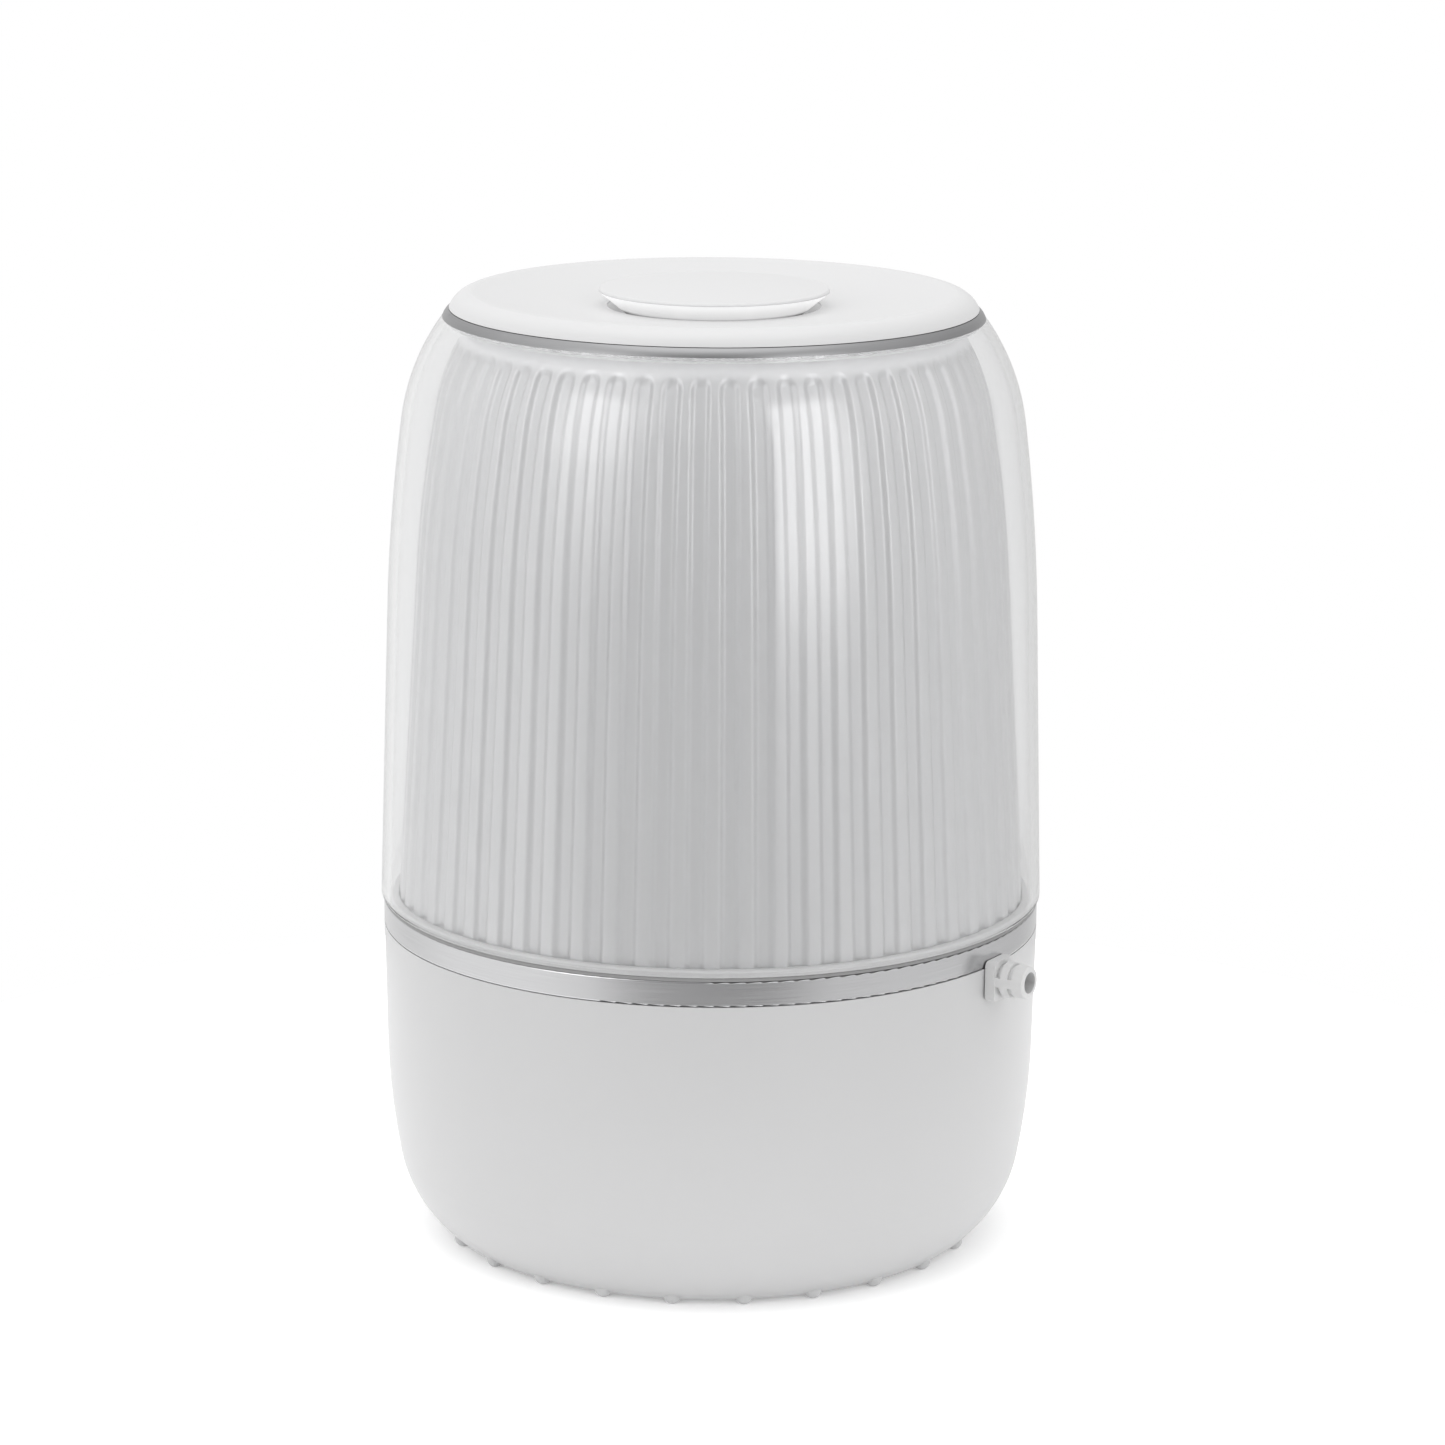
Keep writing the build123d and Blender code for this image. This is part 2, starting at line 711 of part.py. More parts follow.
# Outlet grille: a sleeve over the duct, vanes and the hub that guides the button
with BuildPart() as outlet_grille:
    with BuildSketch(Plane.XZ):
        fill_ring(grille_bore, grille_screw_circle + grille_ear, grille_level, grille_top)
        fill_ring(sleeve_inner, sleeve_outer, grille_top - sleeve_depth, grille_top)
        fill_ring(stem_radius + fit_gap, hub_radius, hub_bottom, grille_top)
    revolve(axis=Axis.Z)
    vane_reach = (sleeve_inner + sleeve_outer - hub_radius) / 2
    with Locations((0, 0, grille_level - vane_height / 2)):
        with PolarLocations(hub_radius / 2 + vane_reach / 2, vane_count):
            Box(vane_reach, vane_thickness, vane_height)
    with Locations((0, 0, (hub_bottom + grille_top) / 2)):
        Cylinder(stem_radius + fit_gap, grille_top - hub_bottom, mode=Mode.SUBTRACT)
    with Locations((0, 0, (grille_level + grille_top) / 2)):
        with PolarLocations(grille_screw_circle, grille_screw_count, screw_start):
            Cylinder(screw_radius + seat_gap, grille_flange, mode=Mode.SUBTRACT)
outlet_grille.part.label = "outlet_grille"
export_step(outlet_grille.part, "parts/outlet_grille.step")

with BuildPart() as grille_screws:
    grille_screw_length = grille_flange + screw_bite - slide_gap
    screws(grille_screw_circle, grille_screw_count, screw_start, grille_level, grille_screw_length, up=True)
grille_screws.part.label = "grille_screws"
export_step(grille_screws.part, "parts/grille_screws.step")

# Mushroom button on its stem
with BuildPart() as top_button:
    with BuildSketch(Plane.XZ):
        with BuildLine():
            TangentArc((0, crown_top), (button_radius - button_edge, button_rim), tangent=(1, 0))
            RadiusArc(
                (button_radius - button_edge, button_rim),
                (button_radius, button_rim - button_edge),
                button_edge,
            )
            Polyline(
                (button_radius, button_rim - button_edge),
                (button_foot_radius, button_foot),
                (button_foot_radius - button_wall, button_foot),
                (button_hollow_radius, button_hollow),
                (stem_radius, button_hollow),
                (stem_radius, stem_tip),
                (0, stem_tip),
                (0, crown_top),
            )
        make_face()
        fill_ring(
            stem_radius - clip_groove,
            stem_radius,
            clip_level - fit_gap,
            clip_level + clip_height + fit_gap,
            mode=Mode.SUBTRACT,
        )
    revolve(axis=Axis.Z)
top_button.part.label = "top_button"
export_step(top_button.part, "parts/top_button.step")

# Clip that keeps the stem in its hub
with BuildPart() as stem_clip:
    with BuildSketch(Plane.XY.offset(clip_level)):
        Circle(clip_radius)
        Circle(stem_radius - clip_groove + fit_gap, mode=Mode.SUBTRACT)
        with Locations((clip_radius / 2, 0)):
            Rectangle(clip_radius, clip_opening, mode=Mode.SUBTRACT)
    extrude(amount=clip_height)
stem_clip.part.label = "stem_clip"
export_step(stem_clip.part, "parts/stem_clip.step")

# Return spring between the hub and the button
with BuildPart() as button_spring:
    with BuildLine() as spring_line:
        spring_foot = grille_top + spring_wire / 2
        Helix(spring_rise / spring_turns, spring_rise, spring_radius, center=(0, 0, spring_foot))
    with BuildSketch(Plane(origin=spring_line.line @ 0, z_dir=spring_line.line % 0)):
        Circle(spring_wire / 2)
    sweep(path=spring_line.line, is_frenet=True)
button_spring.part.label = "button_spring"
export_step(button_spring.part, "parts/button_spring.step")

# Fan deck: a round plate with a rolled inlet and posts for the boards
with BuildPart() as fan_deck:
    with BuildSketch(Plane.XZ):
        fill_ring(inlet_radius, deck_radius, deck_level, deck_top)
        fill_ring(inlet_radius, inlet_radius + inlet_lip, deck_top, deck_top + inlet_lip_height)
    revolve(axis=Axis.Z)
    inlet_edges = fan_deck.edges().filter_by(GeomType.CIRCLE).group_by(Axis.Z)[0]
    fillet(inlet_edges.sort_by(SortBy.RADIUS)[0], inlet_round)
    with Locations((0, 0, deck_top + post_height / 2)):
        with PolarLocations(light_circle, light_post_count, light_post_start, light_arc):
            Cylinder(post_radius, post_height)
    with Locations(*[spot(board_circle, angle, deck_top + post_height / 2) for angle in board_post_angles]):
        Cylinder(post_radius, post_height)
    with Locations((0, 0, post_top - screw_bite / 2)):
        with PolarLocations(light_circle, light_post_count, light_post_start, light_arc):
            Cylinder(screw_radius + fit_gap, screw_bite, mode=Mode.SUBTRACT)
    with Locations(*[spot(board_circle, angle, post_top - screw_bite / 2) for angle in board_post_angles]):
        Cylinder(screw_radius + fit_gap, screw_bite, mode=Mode.SUBTRACT)
    with Locations((0, 0, deck_level + deck_thickness / 2)):
        with PolarLocations(deck_screw_circle, deck_screw_count):
            Cylinder(screw_radius + seat_gap, deck_thickness, mode=Mode.SUBTRACT)
        with PolarLocations(housing_screw_circle, housing_screw_count, screw_start):
            Cylinder(screw_radius + fit_gap, deck_thickness, mode=Mode.SUBTRACT)
fan_deck.part.label = "fan_deck"
export_step(fan_deck.part, "parts/fan_deck.step")

with BuildPart() as deck_screws:
    screws(deck_screw_circle, deck_screw_count, 0, deck_top, deck_thickness + screw_bite)
deck_screws.part.label = "deck_screws"
export_step(deck_screws.part, "parts/deck_screws.step")

# Fan housing that turns the air up into the duct
with BuildPart() as fan_housing:
    with BuildSketch(Plane.XZ):
        fill_outline(
            [
                (housing_radius, deck_top),
                (housing_outer + housing_flange, deck_top),
                (housing_outer + housing_flange, housing_flange_top),
                (housing_outer, housing_flange_top),
                (housing_outer, barrel_top),
                (collar_outer, housing_neck_level),
                (collar_outer, housing_neck_level + housing_collar),
                (collar_inner, housing_neck_level + housing_collar),
                (collar_inner, housing_neck_level),
                (neck_bore, housing_neck_level),
                (neck_bore, housing_neck_level - housing_wall),
                (collar_inner + housing_wall / 2, housing_neck_level - housing_wall),
                (housing_radius, barrel_top - housing_wall / 2),
            ]
        )
    revolve(axis=Axis.Z)
    with Locations((0, 0, deck_top + housing_flange_thickness / 2)):
        with PolarLocations(housing_screw_circle, housing_screw_count, screw_start):
            Cylinder(screw_radius + seat_gap, housing_flange_thickness, mode=Mode.SUBTRACT)
fan_housing.part.label = "fan_housing"
export_step(fan_housing.part, "parts/fan_housing.step")

with BuildPart() as housing_screws:
    housing_screw_length = housing_flange_thickness + deck_thickness - slide_gap
    screws(housing_screw_circle, housing_screw_count, screw_start, housing_flange_top, housing_screw_length)
housing_screws.part.label = "housing_screws"
export_step(housing_screws.part, "parts/housing_screws.step")


def bends(route):
    """Bend radii of a lead, each as large as its two runs leave room for."""
    runs = [Vector(*end) - Vector(*start) for start, end in zip(route, route[1:])]
    return [
        lead_bend_share * min(first.length, second.length) / tan(radians(first.get_angle(second) / 2))
        for first, second in zip(runs, runs[1:])
    ]


# Lead from the switch down to the main board, in its own meridian plane
lead_plane = meridian(lead_angle)
lead_route = [
    (switch_board_radius - 2 * lead_radius, switch_board_top + lead_radius),
    (lead_drop_radius, switch_board_top + lead_radius),
    (lead_drop_radius, lead_exit_level),
    (duct_outer + lead_stand_off, lead_exit_level - lead_exit_drop),
    (lead_foot_radius, housing_neck_level),
    (lead_foot_radius, socket_level),
    (board_circle - socket_depth / 2, socket_level),
]
with BuildPart() as switch_lead:
    with BuildLine(lead_plane) as lead_line:
        FilletPolyline(*lead_route, radius=bends(lead_route))
    with BuildSketch(Plane(origin=lead_line.line @ 0, z_dir=lead_line.line % 0)):
        Circle(lead_radius)
    sweep(path=lead_line.line)
switch_lead.part.label = "switch_lead"
export_step(switch_lead.part, "parts/switch_lead.step")

# Air duct, with a seat at its top for the switch bracket and a hole for the lead
with BuildPart() as air_duct:
    with BuildSketch(Plane.XZ):
        fill_ring(duct_radius, duct_outer, housing_neck_level, duct_top)
        fill_ring(duct_radius, duct_radius + duct_seat_step, switch_level, duct_top, mode=Mode.SUBTRACT)
    revolve(axis=Axis.Z)
    with BuildSketch(Plane(origin=lead_line.line @ 0, z_dir=lead_line.line % 0)):
        Circle(lead_radius + lift_gap)
    sweep(path=lead_line.line, mode=Mode.SUBTRACT)
air_duct.part.label = "air_duct"
export_step(air_duct.part, "parts/air_duct.step")

# Spider that hangs the motor in the duct
with BuildPart() as motor_mount:
    with BuildSketch(Plane.XZ):
        fill_ring(neck_bore, duct_radius - seat_gap, housing_neck_level, mount_top)
        fill_ring(0, mount_plate_radius, motor_top, mount_top)
    revolve(axis=Axis.Z)
    arm_reach = neck_bore + mount_ring / 2 - mount_plate_radius / 2
    with Locations((0, 0, (motor_top + mount_top) / 2)):
        with PolarLocations(mount_plate_radius / 2 + arm_reach / 2, mount_arm_count):
            Box(arm_reach, mount_arm, mount_plate)
        with PolarLocations(motor_screw_circle, motor_screw_count, screw_start):
            Cylinder(screw_radius + seat_gap, mount_plate, mode=Mode.SUBTRACT)
motor_mount.part.label = "motor_mount"
export_step(motor_mount.part, "parts/motor_mount.step")

with BuildPart() as motor_screws:
    motor_screw_length = mount_plate + motor_end - 2 * bearing_cover
    screws(motor_screw_circle, motor_screw_count, screw_start, mount_top, motor_screw_length)
motor_screws.part.label = "motor_screws"
export_step(motor_screws.part, "parts/motor_screws.step")

# Motor can with a chamber for the stator and a bearing seat in each end
with BuildPart() as motor_can:
    with BuildSketch(Plane.XZ):
        fill_ring(0, motor_radius, motor_bottom, motor_top)
        for hollow, low, high in (
            (motor_radius - motor_wall, motor_bottom + motor_end, motor_top - motor_end),
            (bearing_radius, motor_bottom + bearing_cover, motor_top - bearing_cover),
            (shaft_radius + slide_gap, motor_bottom, motor_bottom + bearing_cover),
        ):
            fill_ring(0, hollow, low, high, mode=Mode.SUBTRACT)
    revolve(axis=Axis.Z)
    with Locations((0, 0, motor_top - motor_end / 2)):
        with PolarLocations(motor_screw_circle, motor_screw_count, screw_start):
            Cylinder(screw_radius + fit_gap, motor_end, mode=Mode.SUBTRACT)
motor_can.part.label = "motor_can"
export_step(motor_can.part, "parts/motor_can.step")

with BuildPart() as motor_bearings:
    with BuildSketch(Plane.XZ):
        for bottom in (motor_bottom + bearing_cover, motor_top - bearing_cover - bearing_height):
            fill_ring(shaft_radius + fit_gap, bearing_radius - fit_gap, bottom, bottom + bearing_height)
    revolve(axis=Axis.Z)
motor_bearings.part.label = "motor_bearings"
export_step(motor_bearings.part, "parts/motor_bearings.step")

# Slotted stator round the rotor magnet
with BuildPart() as motor_stator:
    with BuildSketch(Plane.XY.offset(motor_bottom + motor_end + seat_gap)):
        Circle(motor_radius - motor_wall - fit_gap)
        Circle(rotor_radius + stator_gap, mode=Mode.SUBTRACT)
        with PolarLocations(rotor_radius + stator_gap + stator_slot / 2, stator_slots):
            RectangleRounded(stator_slot, stator_slot_width, stator_slot_width / 3, mode=Mode.SUBTRACT)
        with PolarLocations(rotor_radius + stator_gap, stator_slots):
            Rectangle(stator_slot, stator_mouth, mode=Mode.SUBTRACT)
    extrude(amount=motor_height - 2 * motor_end - 2 * seat_gap)
motor_stator.part.label = "motor_stator"
export_step(motor_stator.part, "parts/motor_stator.step")

with BuildPart() as motor_rotor:
    with BuildSketch(Plane.XZ):
        fill_ring(
            shaft_radius + fit_gap,
            rotor_radius,
            motor_bottom + motor_end + slide_gap,
            motor_top - motor_end - slide_gap,
        )
    revolve(axis=Axis.Z)
motor_rotor.part.label = "motor_rotor"
export_step(motor_rotor.part, "parts/motor_rotor.step")

with BuildPart() as motor_shaft:
    with BuildSketch(Plane.XZ):
        fill_ring(0, shaft_radius, hub_foot - nut_height - lift_gap, motor_top - bearing_cover - lift_gap)
    revolve(axis=Axis.Z)
motor_shaft.part.label = "motor_shaft"
export_step(motor_shaft.part, "parts/motor_shaft.step")

# One backward-curved blade
with BuildPart() as blade:
    with BuildSketch(Plane.XY.offset(shroud_top - impeller_shroud / 2)):
        with BuildLine():
            SagittaArc(
                (blade_root, 0),
                spot(impeller_radius - blade_thickness, blade_sweep, 0).position,
                -blade_bow,
            )
        trace(line_width=blade_thickness)
    extrude(amount=plate_bottom - shroud_top + impeller_shroud / 2 + impeller_plate / 2)

# Impeller: a back plate with its hub, curved blades and a ring shroud round the eye
with BuildPart() as impeller:
    with BuildSketch(Plane.XZ):
        fill_ring(shaft_radius + fit_gap, impeller_radius, plate_bottom, plate_top)
        fill_ring(shaft_radius + fit_gap, impeller_hub_radius, hub_foot, plate_top)
        fill_ring(impeller_eye, impeller_radius, shroud_top - impeller_shroud, shroud_top)
    revolve(axis=Axis.Z)
    with PolarLocations(0, blade_count):
        add(blade.part)
impeller.part.label = "impeller"
export_step(impeller.part, "parts/impeller.step")

with BuildPart() as impeller_nut:
    with BuildSketch(Plane.XY.offset(hub_foot - nut_height)):
        RegularPolygon(nut_radius, 6)
        Circle(shaft_radius + fit_gap, mode=Mode.SUBTRACT)
    extrude(amount=nut_height)
impeller_nut.part.label = "impeller_nut"
export_step(impeller_nut.part, "parts/impeller_nut.step")


def star(outer):
    """Corners of the pleats' zigzag, out and in by turns."""
    corners = [(outer - pleat_depth * (i % 2), 180 * i / pleat_count) for i in range(2 * pleat_count)]
    return [spot(radius, angle, 0).position for radius, angle in corners]


# Pleated paper ring of the filter
with BuildPart() as filter_pleats:
    with BuildSketch(Plane.XY.offset(filter_low)):
        Polygon(*star(pleat_outer), align=None)
        Polygon(*star(pleat_outer - pleat_fold), align=None, mode=Mode.SUBTRACT)
    extrude(amount=filter_high - filter_low)
filter_pleats.part.label = "filter_pleats"
export_step(filter_pleats.part, "parts/filter_pleats.step")

with BuildPart() as carbon_sleeve:
    with BuildSketch(Plane.XZ):
        fill_ring(carbon_outer - carbon_wall, carbon_outer, filter_low, filter_high)
    revolve(axis=Axis.Z)
carbon_sleeve.part.label = "carbon_sleeve"
export_step(carbon_sleeve.part, "parts/carbon_sleeve.step")

with BuildPart() as filter_bottom_cap:
    with BuildSketch(Plane.XZ):
        fill_ring(filter_core, filter_radius, filter_low - filter_cap, filter_low)
    revolve(axis=Axis.Z)
    fillet(filter_bottom_cap.edges().filter_by(GeomType.CIRCLE).group_by(Axis.Z)[0], filter_cap_round)
filter_bottom_cap.part.label = "filter_bottom_cap"
export_step(filter_bottom_cap.part, "parts/filter_bottom_cap.step")

with BuildPart() as filter_top_cap:
    with BuildSketch(Plane.XZ):
        fill_ring(filter_core, filter_radius, filter_high, filter_high + filter_cap)
    revolve(axis=Axis.Z)
    fillet(filter_top_cap.edges().filter_by(GeomType.CIRCLE).group_by(Axis.Z)[-1], filter_cap_round)
filter_top_cap.part.label = "filter_top_cap"
export_step(filter_top_cap.part, "parts/filter_top_cap.step")

with BuildPart() as filter_seal:
    with BuildSketch(Plane.XZ):
        fill_ring(
            filter_core + filter_cap_round,
            filter_core + filter_cap_round + filter_seal_width,
            deck_level - filter_seal_height,
            deck_level,
        )
    revolve(axis=Axis.Z)
filter_seal.part.label = "filter_seal"
export_step(filter_seal.part, "parts/filter_seal.step")

# Twist-off hatch: a plate with a collar, four lugs and a finger grip
with BuildPart() as filter_hatch:
    with BuildSketch(Plane.XZ):
        fill_ring(0, hatch_radius, hatch_lift, hatch_top)
        fill_ring(collar_radius - collar_wall, collar_radius, hatch_top, lug_top)
        fill_ring(0, grip_radius + collar_wall, hatch_top, hatch_top + grip_depth)
    revolve(axis=Axis.Z)
    fillet(filter_hatch.edges().filter_by(GeomType.CIRCLE).group_by(Axis.Z)[0], hatch_edge)
    with BuildSketch(*[meridian(i * 360 / lug_count - lug_angle / 2) for i in range(lug_count)]):
        fill_ring(collar_radius - collar_wall / 2, lug_radius, lug_level, lug_top)
    revolve(axis=Axis.Z, revolution_arc=lug_angle)
    with BuildSketch(Plane.XY.offset(hatch_lift)):
        Circle(grip_radius)
        Rectangle(2 * grip_radius, grip_bar, mode=Mode.SUBTRACT)
    extrude(amount=grip_depth, mode=Mode.SUBTRACT)
filter_hatch.part.label = "filter_hatch"
export_step(filter_hatch.part, "parts/filter_hatch.step")

# Main board beside the duct, with its parts
with BuildPart() as main_board:
    with BuildSketch(meridian(board_start)):
        fill_ring(board_inner, board_outer, post_top, board_top)
    revolve(axis=Axis.Z, revolution_arc=board_arc)
    with Locations(*[spot(board_circle, angle, (post_top + board_top) / 2) for angle in board_post_angles]):
        Cylinder(screw_radius + seat_gap, board_thickness, mode=Mode.SUBTRACT)
main_board.part.label = "main_board"
export_step(main_board.part, "parts/main_board.step")

with BuildPart() as board_parts:
    capacitor_level = board_top + capacitor_height / 2
    with Locations(*[spot(board_circle, angle, capacitor_level) for angle in capacitor_angles]):
        Cylinder(capacitor_radius, capacitor_height)
    with Locations(spot(board_circle, transformer_angle, board_top + transformer_height / 2)):
        Box(transformer_size, transformer_size, transformer_height)
    with Locations(spot(board_circle, lead_angle, socket_level)):
        Box(socket_depth, socket_width, socket_height)
    with Locations(spot(board_circle, chip_angle, board_top + chip_height / 2)):
        Box(chip_size, chip_size, chip_height)
board_parts.part.label = "board_parts"
export_step(board_parts.part, "parts/board_parts.step")

# Ring of lights that glows up into the shade, open at the cord gland
with BuildPart() as light_ring:
    with BuildSketch(meridian(light_start)):
        fill_ring(light_ring_inner, light_ring_outer, post_top, board_top)
    revolve(axis=Axis.Z, revolution_arc=light_arc)
    with Locations((0, 0, (post_top + board_top) / 2)):
        with PolarLocations(light_circle, light_post_count, light_post_start, light_arc):
            Cylinder(screw_radius + seat_gap, board_thickness, mode=Mode.SUBTRACT)
light_ring.part.label = "light_ring"
export_step(light_ring.part, "parts/light_ring.step")

with BuildPart() as light_chips:
    with Locations((0, 0, board_top + light_height / 2)):
        with PolarLocations(light_circle, light_count, light_start + light_arc / light_count / 2, light_arc):
            Box(light_size, light_size, light_height)
light_chips.part.label = "light_chips"
export_step(light_chips.part, "parts/light_chips.step")

with BuildPart() as board_screws:
    board_screw_length = board_thickness + screw_bite - slide_gap
    screws(light_circle, light_post_count, light_post_start, board_top, board_screw_length, arc=light_arc)
    for angle in board_post_angles:
        screws(board_circle, 1, angle, board_top, board_screw_length)
board_screws.part.label = "board_screws"
export_step(board_screws.part, "parts/board_screws.step")

# Bracket across the duct that carries the switch under the button
with BuildPart() as switch_bracket:
    with BuildSketch(Plane.XZ):
        fill_ring(bracket_outer - switch_ring, bracket_outer, switch_level, switch_level + switch_ring_height)
        fill_ring(0, switch_plate_radius, switch_level, switch_plate_top)
    revolve(axis=Axis.Z)
    bracket_reach = bracket_outer - switch_ring / 2 - switch_plate_radius / 2
    bracket_start = lead_angle + 180 / switch_arm_count
    with Locations((0, 0, (switch_level + switch_plate_top) / 2)):
        with PolarLocations(switch_plate_radius / 2 + bracket_reach / 2, switch_arm_count, bracket_start):
            Box(bracket_reach, switch_arm, switch_plate)
switch_bracket.part.label = "switch_bracket"
export_step(switch_bracket.part, "parts/switch_bracket.step")

with BuildPart() as switch_board:
    with BuildSketch(Plane.XY.offset(switch_plate_top)):
        Circle(switch_board_radius)
    extrude(amount=board_thickness)
switch_board.part.label = "switch_board"
export_step(switch_board.part, "parts/switch_board.step")

with BuildPart() as push_switch:
    with Locations((0, 0, switch_board_top + switch_height / 2)):
        Box(switch_size, switch_size, switch_height)
    with Locations((0, 0, switch_top - plunger_height / 2)):
        Cylinder(plunger_radius, plunger_height)
push_switch.part.label = "push_switch"
export_step(push_switch.part, "parts/push_switch.step")

# Ribbed gland where the mains cord comes in: two flanges astride the wall and a slotted boot
with BuildPart() as cord_gland:
    with BuildSketch(gland_axis.offset(gland_face)):
        RectangleRounded(gland_flange, gland_flange, gland_corner)
    extrude(amount=gland_flange_thickness)
    with BuildSketch(meridian(gland_angle)):
        fill_outline(
            [
                (gland_face, gland_level),
                (gland_end, gland_level),
                (gland_end, gland_level + gland_end_radius),
                (gland_face + gland_flange_thickness, gland_level + gland_root_radius),
                (gland_face, gland_level + gland_root_radius),
            ]
        )
    gland_line = Axis(origin=(0, 0, gland_level), direction=gland_axis.z_dir)
    revolve(axis=gland_line)
    fillet(cord_gland.edges().filter_by(GeomType.CIRCLE).sort_by(gland_line)[-1], gland_end_round)
    for slot in range(2):
        slot_face = gland_face + gland_flange_thickness + slot * (gland_slot + gland_rib)
        with BuildSketch(gland_axis.offset(slot_face)):
            Circle(gland_root_radius + gland_slot)
            Circle(gland_root_radius - gland_slot_depth, mode=Mode.SUBTRACT)
            Rectangle(2 * gland_root_radius + 2 * gland_slot, gland_bridge, mode=Mode.SUBTRACT)
        extrude(amount=gland_slot, mode=Mode.SUBTRACT)
    with BuildSketch(gland_axis.offset(gland_inner_face)):
        Rectangle(gland_neck, gland_neck)
    extrude(amount=gland_face - gland_inner_face)
    with BuildSketch(gland_axis.offset(gland_inner_face - gland_back)):
        RectangleRounded(gland_flange, gland_back_height, gland_corner)
    extrude(amount=gland_back)
    with BuildSketch(gland_axis.offset(gland_inner_face - gland_back)):
        Circle(gland_bore)
    extrude(amount=gland_end - gland_inner_face + gland_back, mode=Mode.SUBTRACT)
cord_gland.part.label = "cord_gland"
export_step(cord_gland.part, "parts/cord_gland.step")
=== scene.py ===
import json
from math import cos, radians, sin
import bmesh
import bpy
import numpy as np
from mathutils import Matrix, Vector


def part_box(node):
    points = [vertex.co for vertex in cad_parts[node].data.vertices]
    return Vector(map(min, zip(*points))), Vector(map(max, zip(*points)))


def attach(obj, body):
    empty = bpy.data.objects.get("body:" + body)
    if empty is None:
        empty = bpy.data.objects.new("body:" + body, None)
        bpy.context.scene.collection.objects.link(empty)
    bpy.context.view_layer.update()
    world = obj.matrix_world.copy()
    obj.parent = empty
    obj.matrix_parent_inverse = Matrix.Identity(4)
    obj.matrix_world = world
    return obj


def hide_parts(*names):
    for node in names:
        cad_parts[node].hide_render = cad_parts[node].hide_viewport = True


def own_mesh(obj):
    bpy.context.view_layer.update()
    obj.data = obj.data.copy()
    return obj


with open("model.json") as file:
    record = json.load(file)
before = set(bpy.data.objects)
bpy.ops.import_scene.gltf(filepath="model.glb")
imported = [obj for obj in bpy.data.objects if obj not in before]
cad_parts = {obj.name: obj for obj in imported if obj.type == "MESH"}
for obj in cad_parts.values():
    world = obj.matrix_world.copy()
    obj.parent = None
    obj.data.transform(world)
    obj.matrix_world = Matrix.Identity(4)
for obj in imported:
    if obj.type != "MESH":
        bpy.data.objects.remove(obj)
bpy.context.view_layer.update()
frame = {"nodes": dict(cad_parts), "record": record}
nodes = frame["nodes"]
scene = bpy.context.scene
mm = 0.001
print("frame loaded:", len(nodes), "nodes")

# Camera: a long lens a little above the cap, rolled slightly, with the body just left of the middle
cameraView = {
    "place": (0.0, -1.3537, 0.4715),
    "pitch": 13.38,
    "roll": 0.35,
    "lens": 119.8,
    "sensor": 36.0,
    "sideShift": 0.0075,
}


def placeCamera(view):
    camera = bpy.data.objects.new("studioCamera", bpy.data.cameras.new("studioCamera"))
    camera.data.sensor_width = view["sensor"]
    camera.data.lens = view["lens"]
    camera.data.shift_x = view["sideShift"]
    tilt = Matrix.Rotation(radians(90 - view["pitch"]), 4, "X")
    roll = Matrix.Rotation(radians(view["roll"]), 4, "Z")
    camera.matrix_world = Matrix.Translation(view["place"]) @ tilt @ roll
    scene.collection.objects.link(camera)
    scene.camera = camera


placeCamera(cameraView)
scene.view_settings.view_transform = "Standard"
print("camera placed")


# Node helpers
def addNode(tree, kind, **settings):
    node = tree.nodes.new(kind)
    for name, value in settings.items():
        setattr(node, name, value)
    return node


def setInputs(node, **values):
    for name, value in values.items():
        node.inputs[name.replace("_", " ")].default_value = value


def mathNode(tree, operation, first, second=None):
    node = addNode(tree, "ShaderNodeMath", operation=operation)
    for socket, value in zip(node.inputs, (first, second)):
        if isinstance(value, (int, float)):
            socket.default_value = value
        elif value is not None:
            tree.links.new(value, socket)
    return node.outputs[0]


# Smooth ramp of a value between two ends
def rampNode(tree, value, ends, low=0.0, high=1.0):
    node = addNode(tree, "ShaderNodeMapRange", interpolation_type="SMOOTHSTEP")
    setInputs(node, From_Min=ends[0], From_Max=ends[1], To_Min=low, To_Max=high)
    tree.links.new(value, node.inputs["Value"])
    return node.outputs["Result"]


def splitVector(tree, value):
    node = addNode(tree, "ShaderNodeSeparateXYZ")
    tree.links.new(value, node.inputs[0])
    return [node.outputs[axis] for axis in ("X", "Y", "Z")]


# Distance from the upright axis, from the two level coordinates
def axisRadius(tree, across, along):
    squares = [mathNode(tree, "MULTIPLY", side, side) for side in (across, along)]
    return mathNode(tree, "SQRT", mathNode(tree, "ADD", *squares))


# A base value moved by a share of a swing
def swingAbout(tree, base, swing, share):
    return mathNode(tree, "ADD", base, mathNode(tree, "MULTIPLY", swing, share))


# What every effect puts out
effectOutputs = ("Height", "Roughness", "Tone")


def newGroup(name, inputs):
    group = bpy.data.node_groups.new(name, "ShaderNodeTree")
    for label, value in inputs.items():
        socket = group.interface.new_socket(name=label, in_out="INPUT", socket_type="NodeSocketFloat")
        socket.default_value = value
    for label in effectOutputs:
        group.interface.new_socket(name=label, in_out="OUTPUT", socket_type="NodeSocketFloat")
    return group, addNode(group, "NodeGroupInput"), addNode(group, "NodeGroupOutput")


def putOut(group, result, *values):
    for label, value in zip(effectOutputs, values):
        group.links.new(value, result.inputs[label])


def newMaterial(name, color, **constants):
    material = bpy.data.materials.new(name)
    material.use_nodes = True
    shader = material.node_tree.nodes["Principled BSDF"]
    shader.inputs["Base Color"].default_value = (*color, 1.0)
    setInputs(shader, **constants)
    return material, material.node_tree, shader


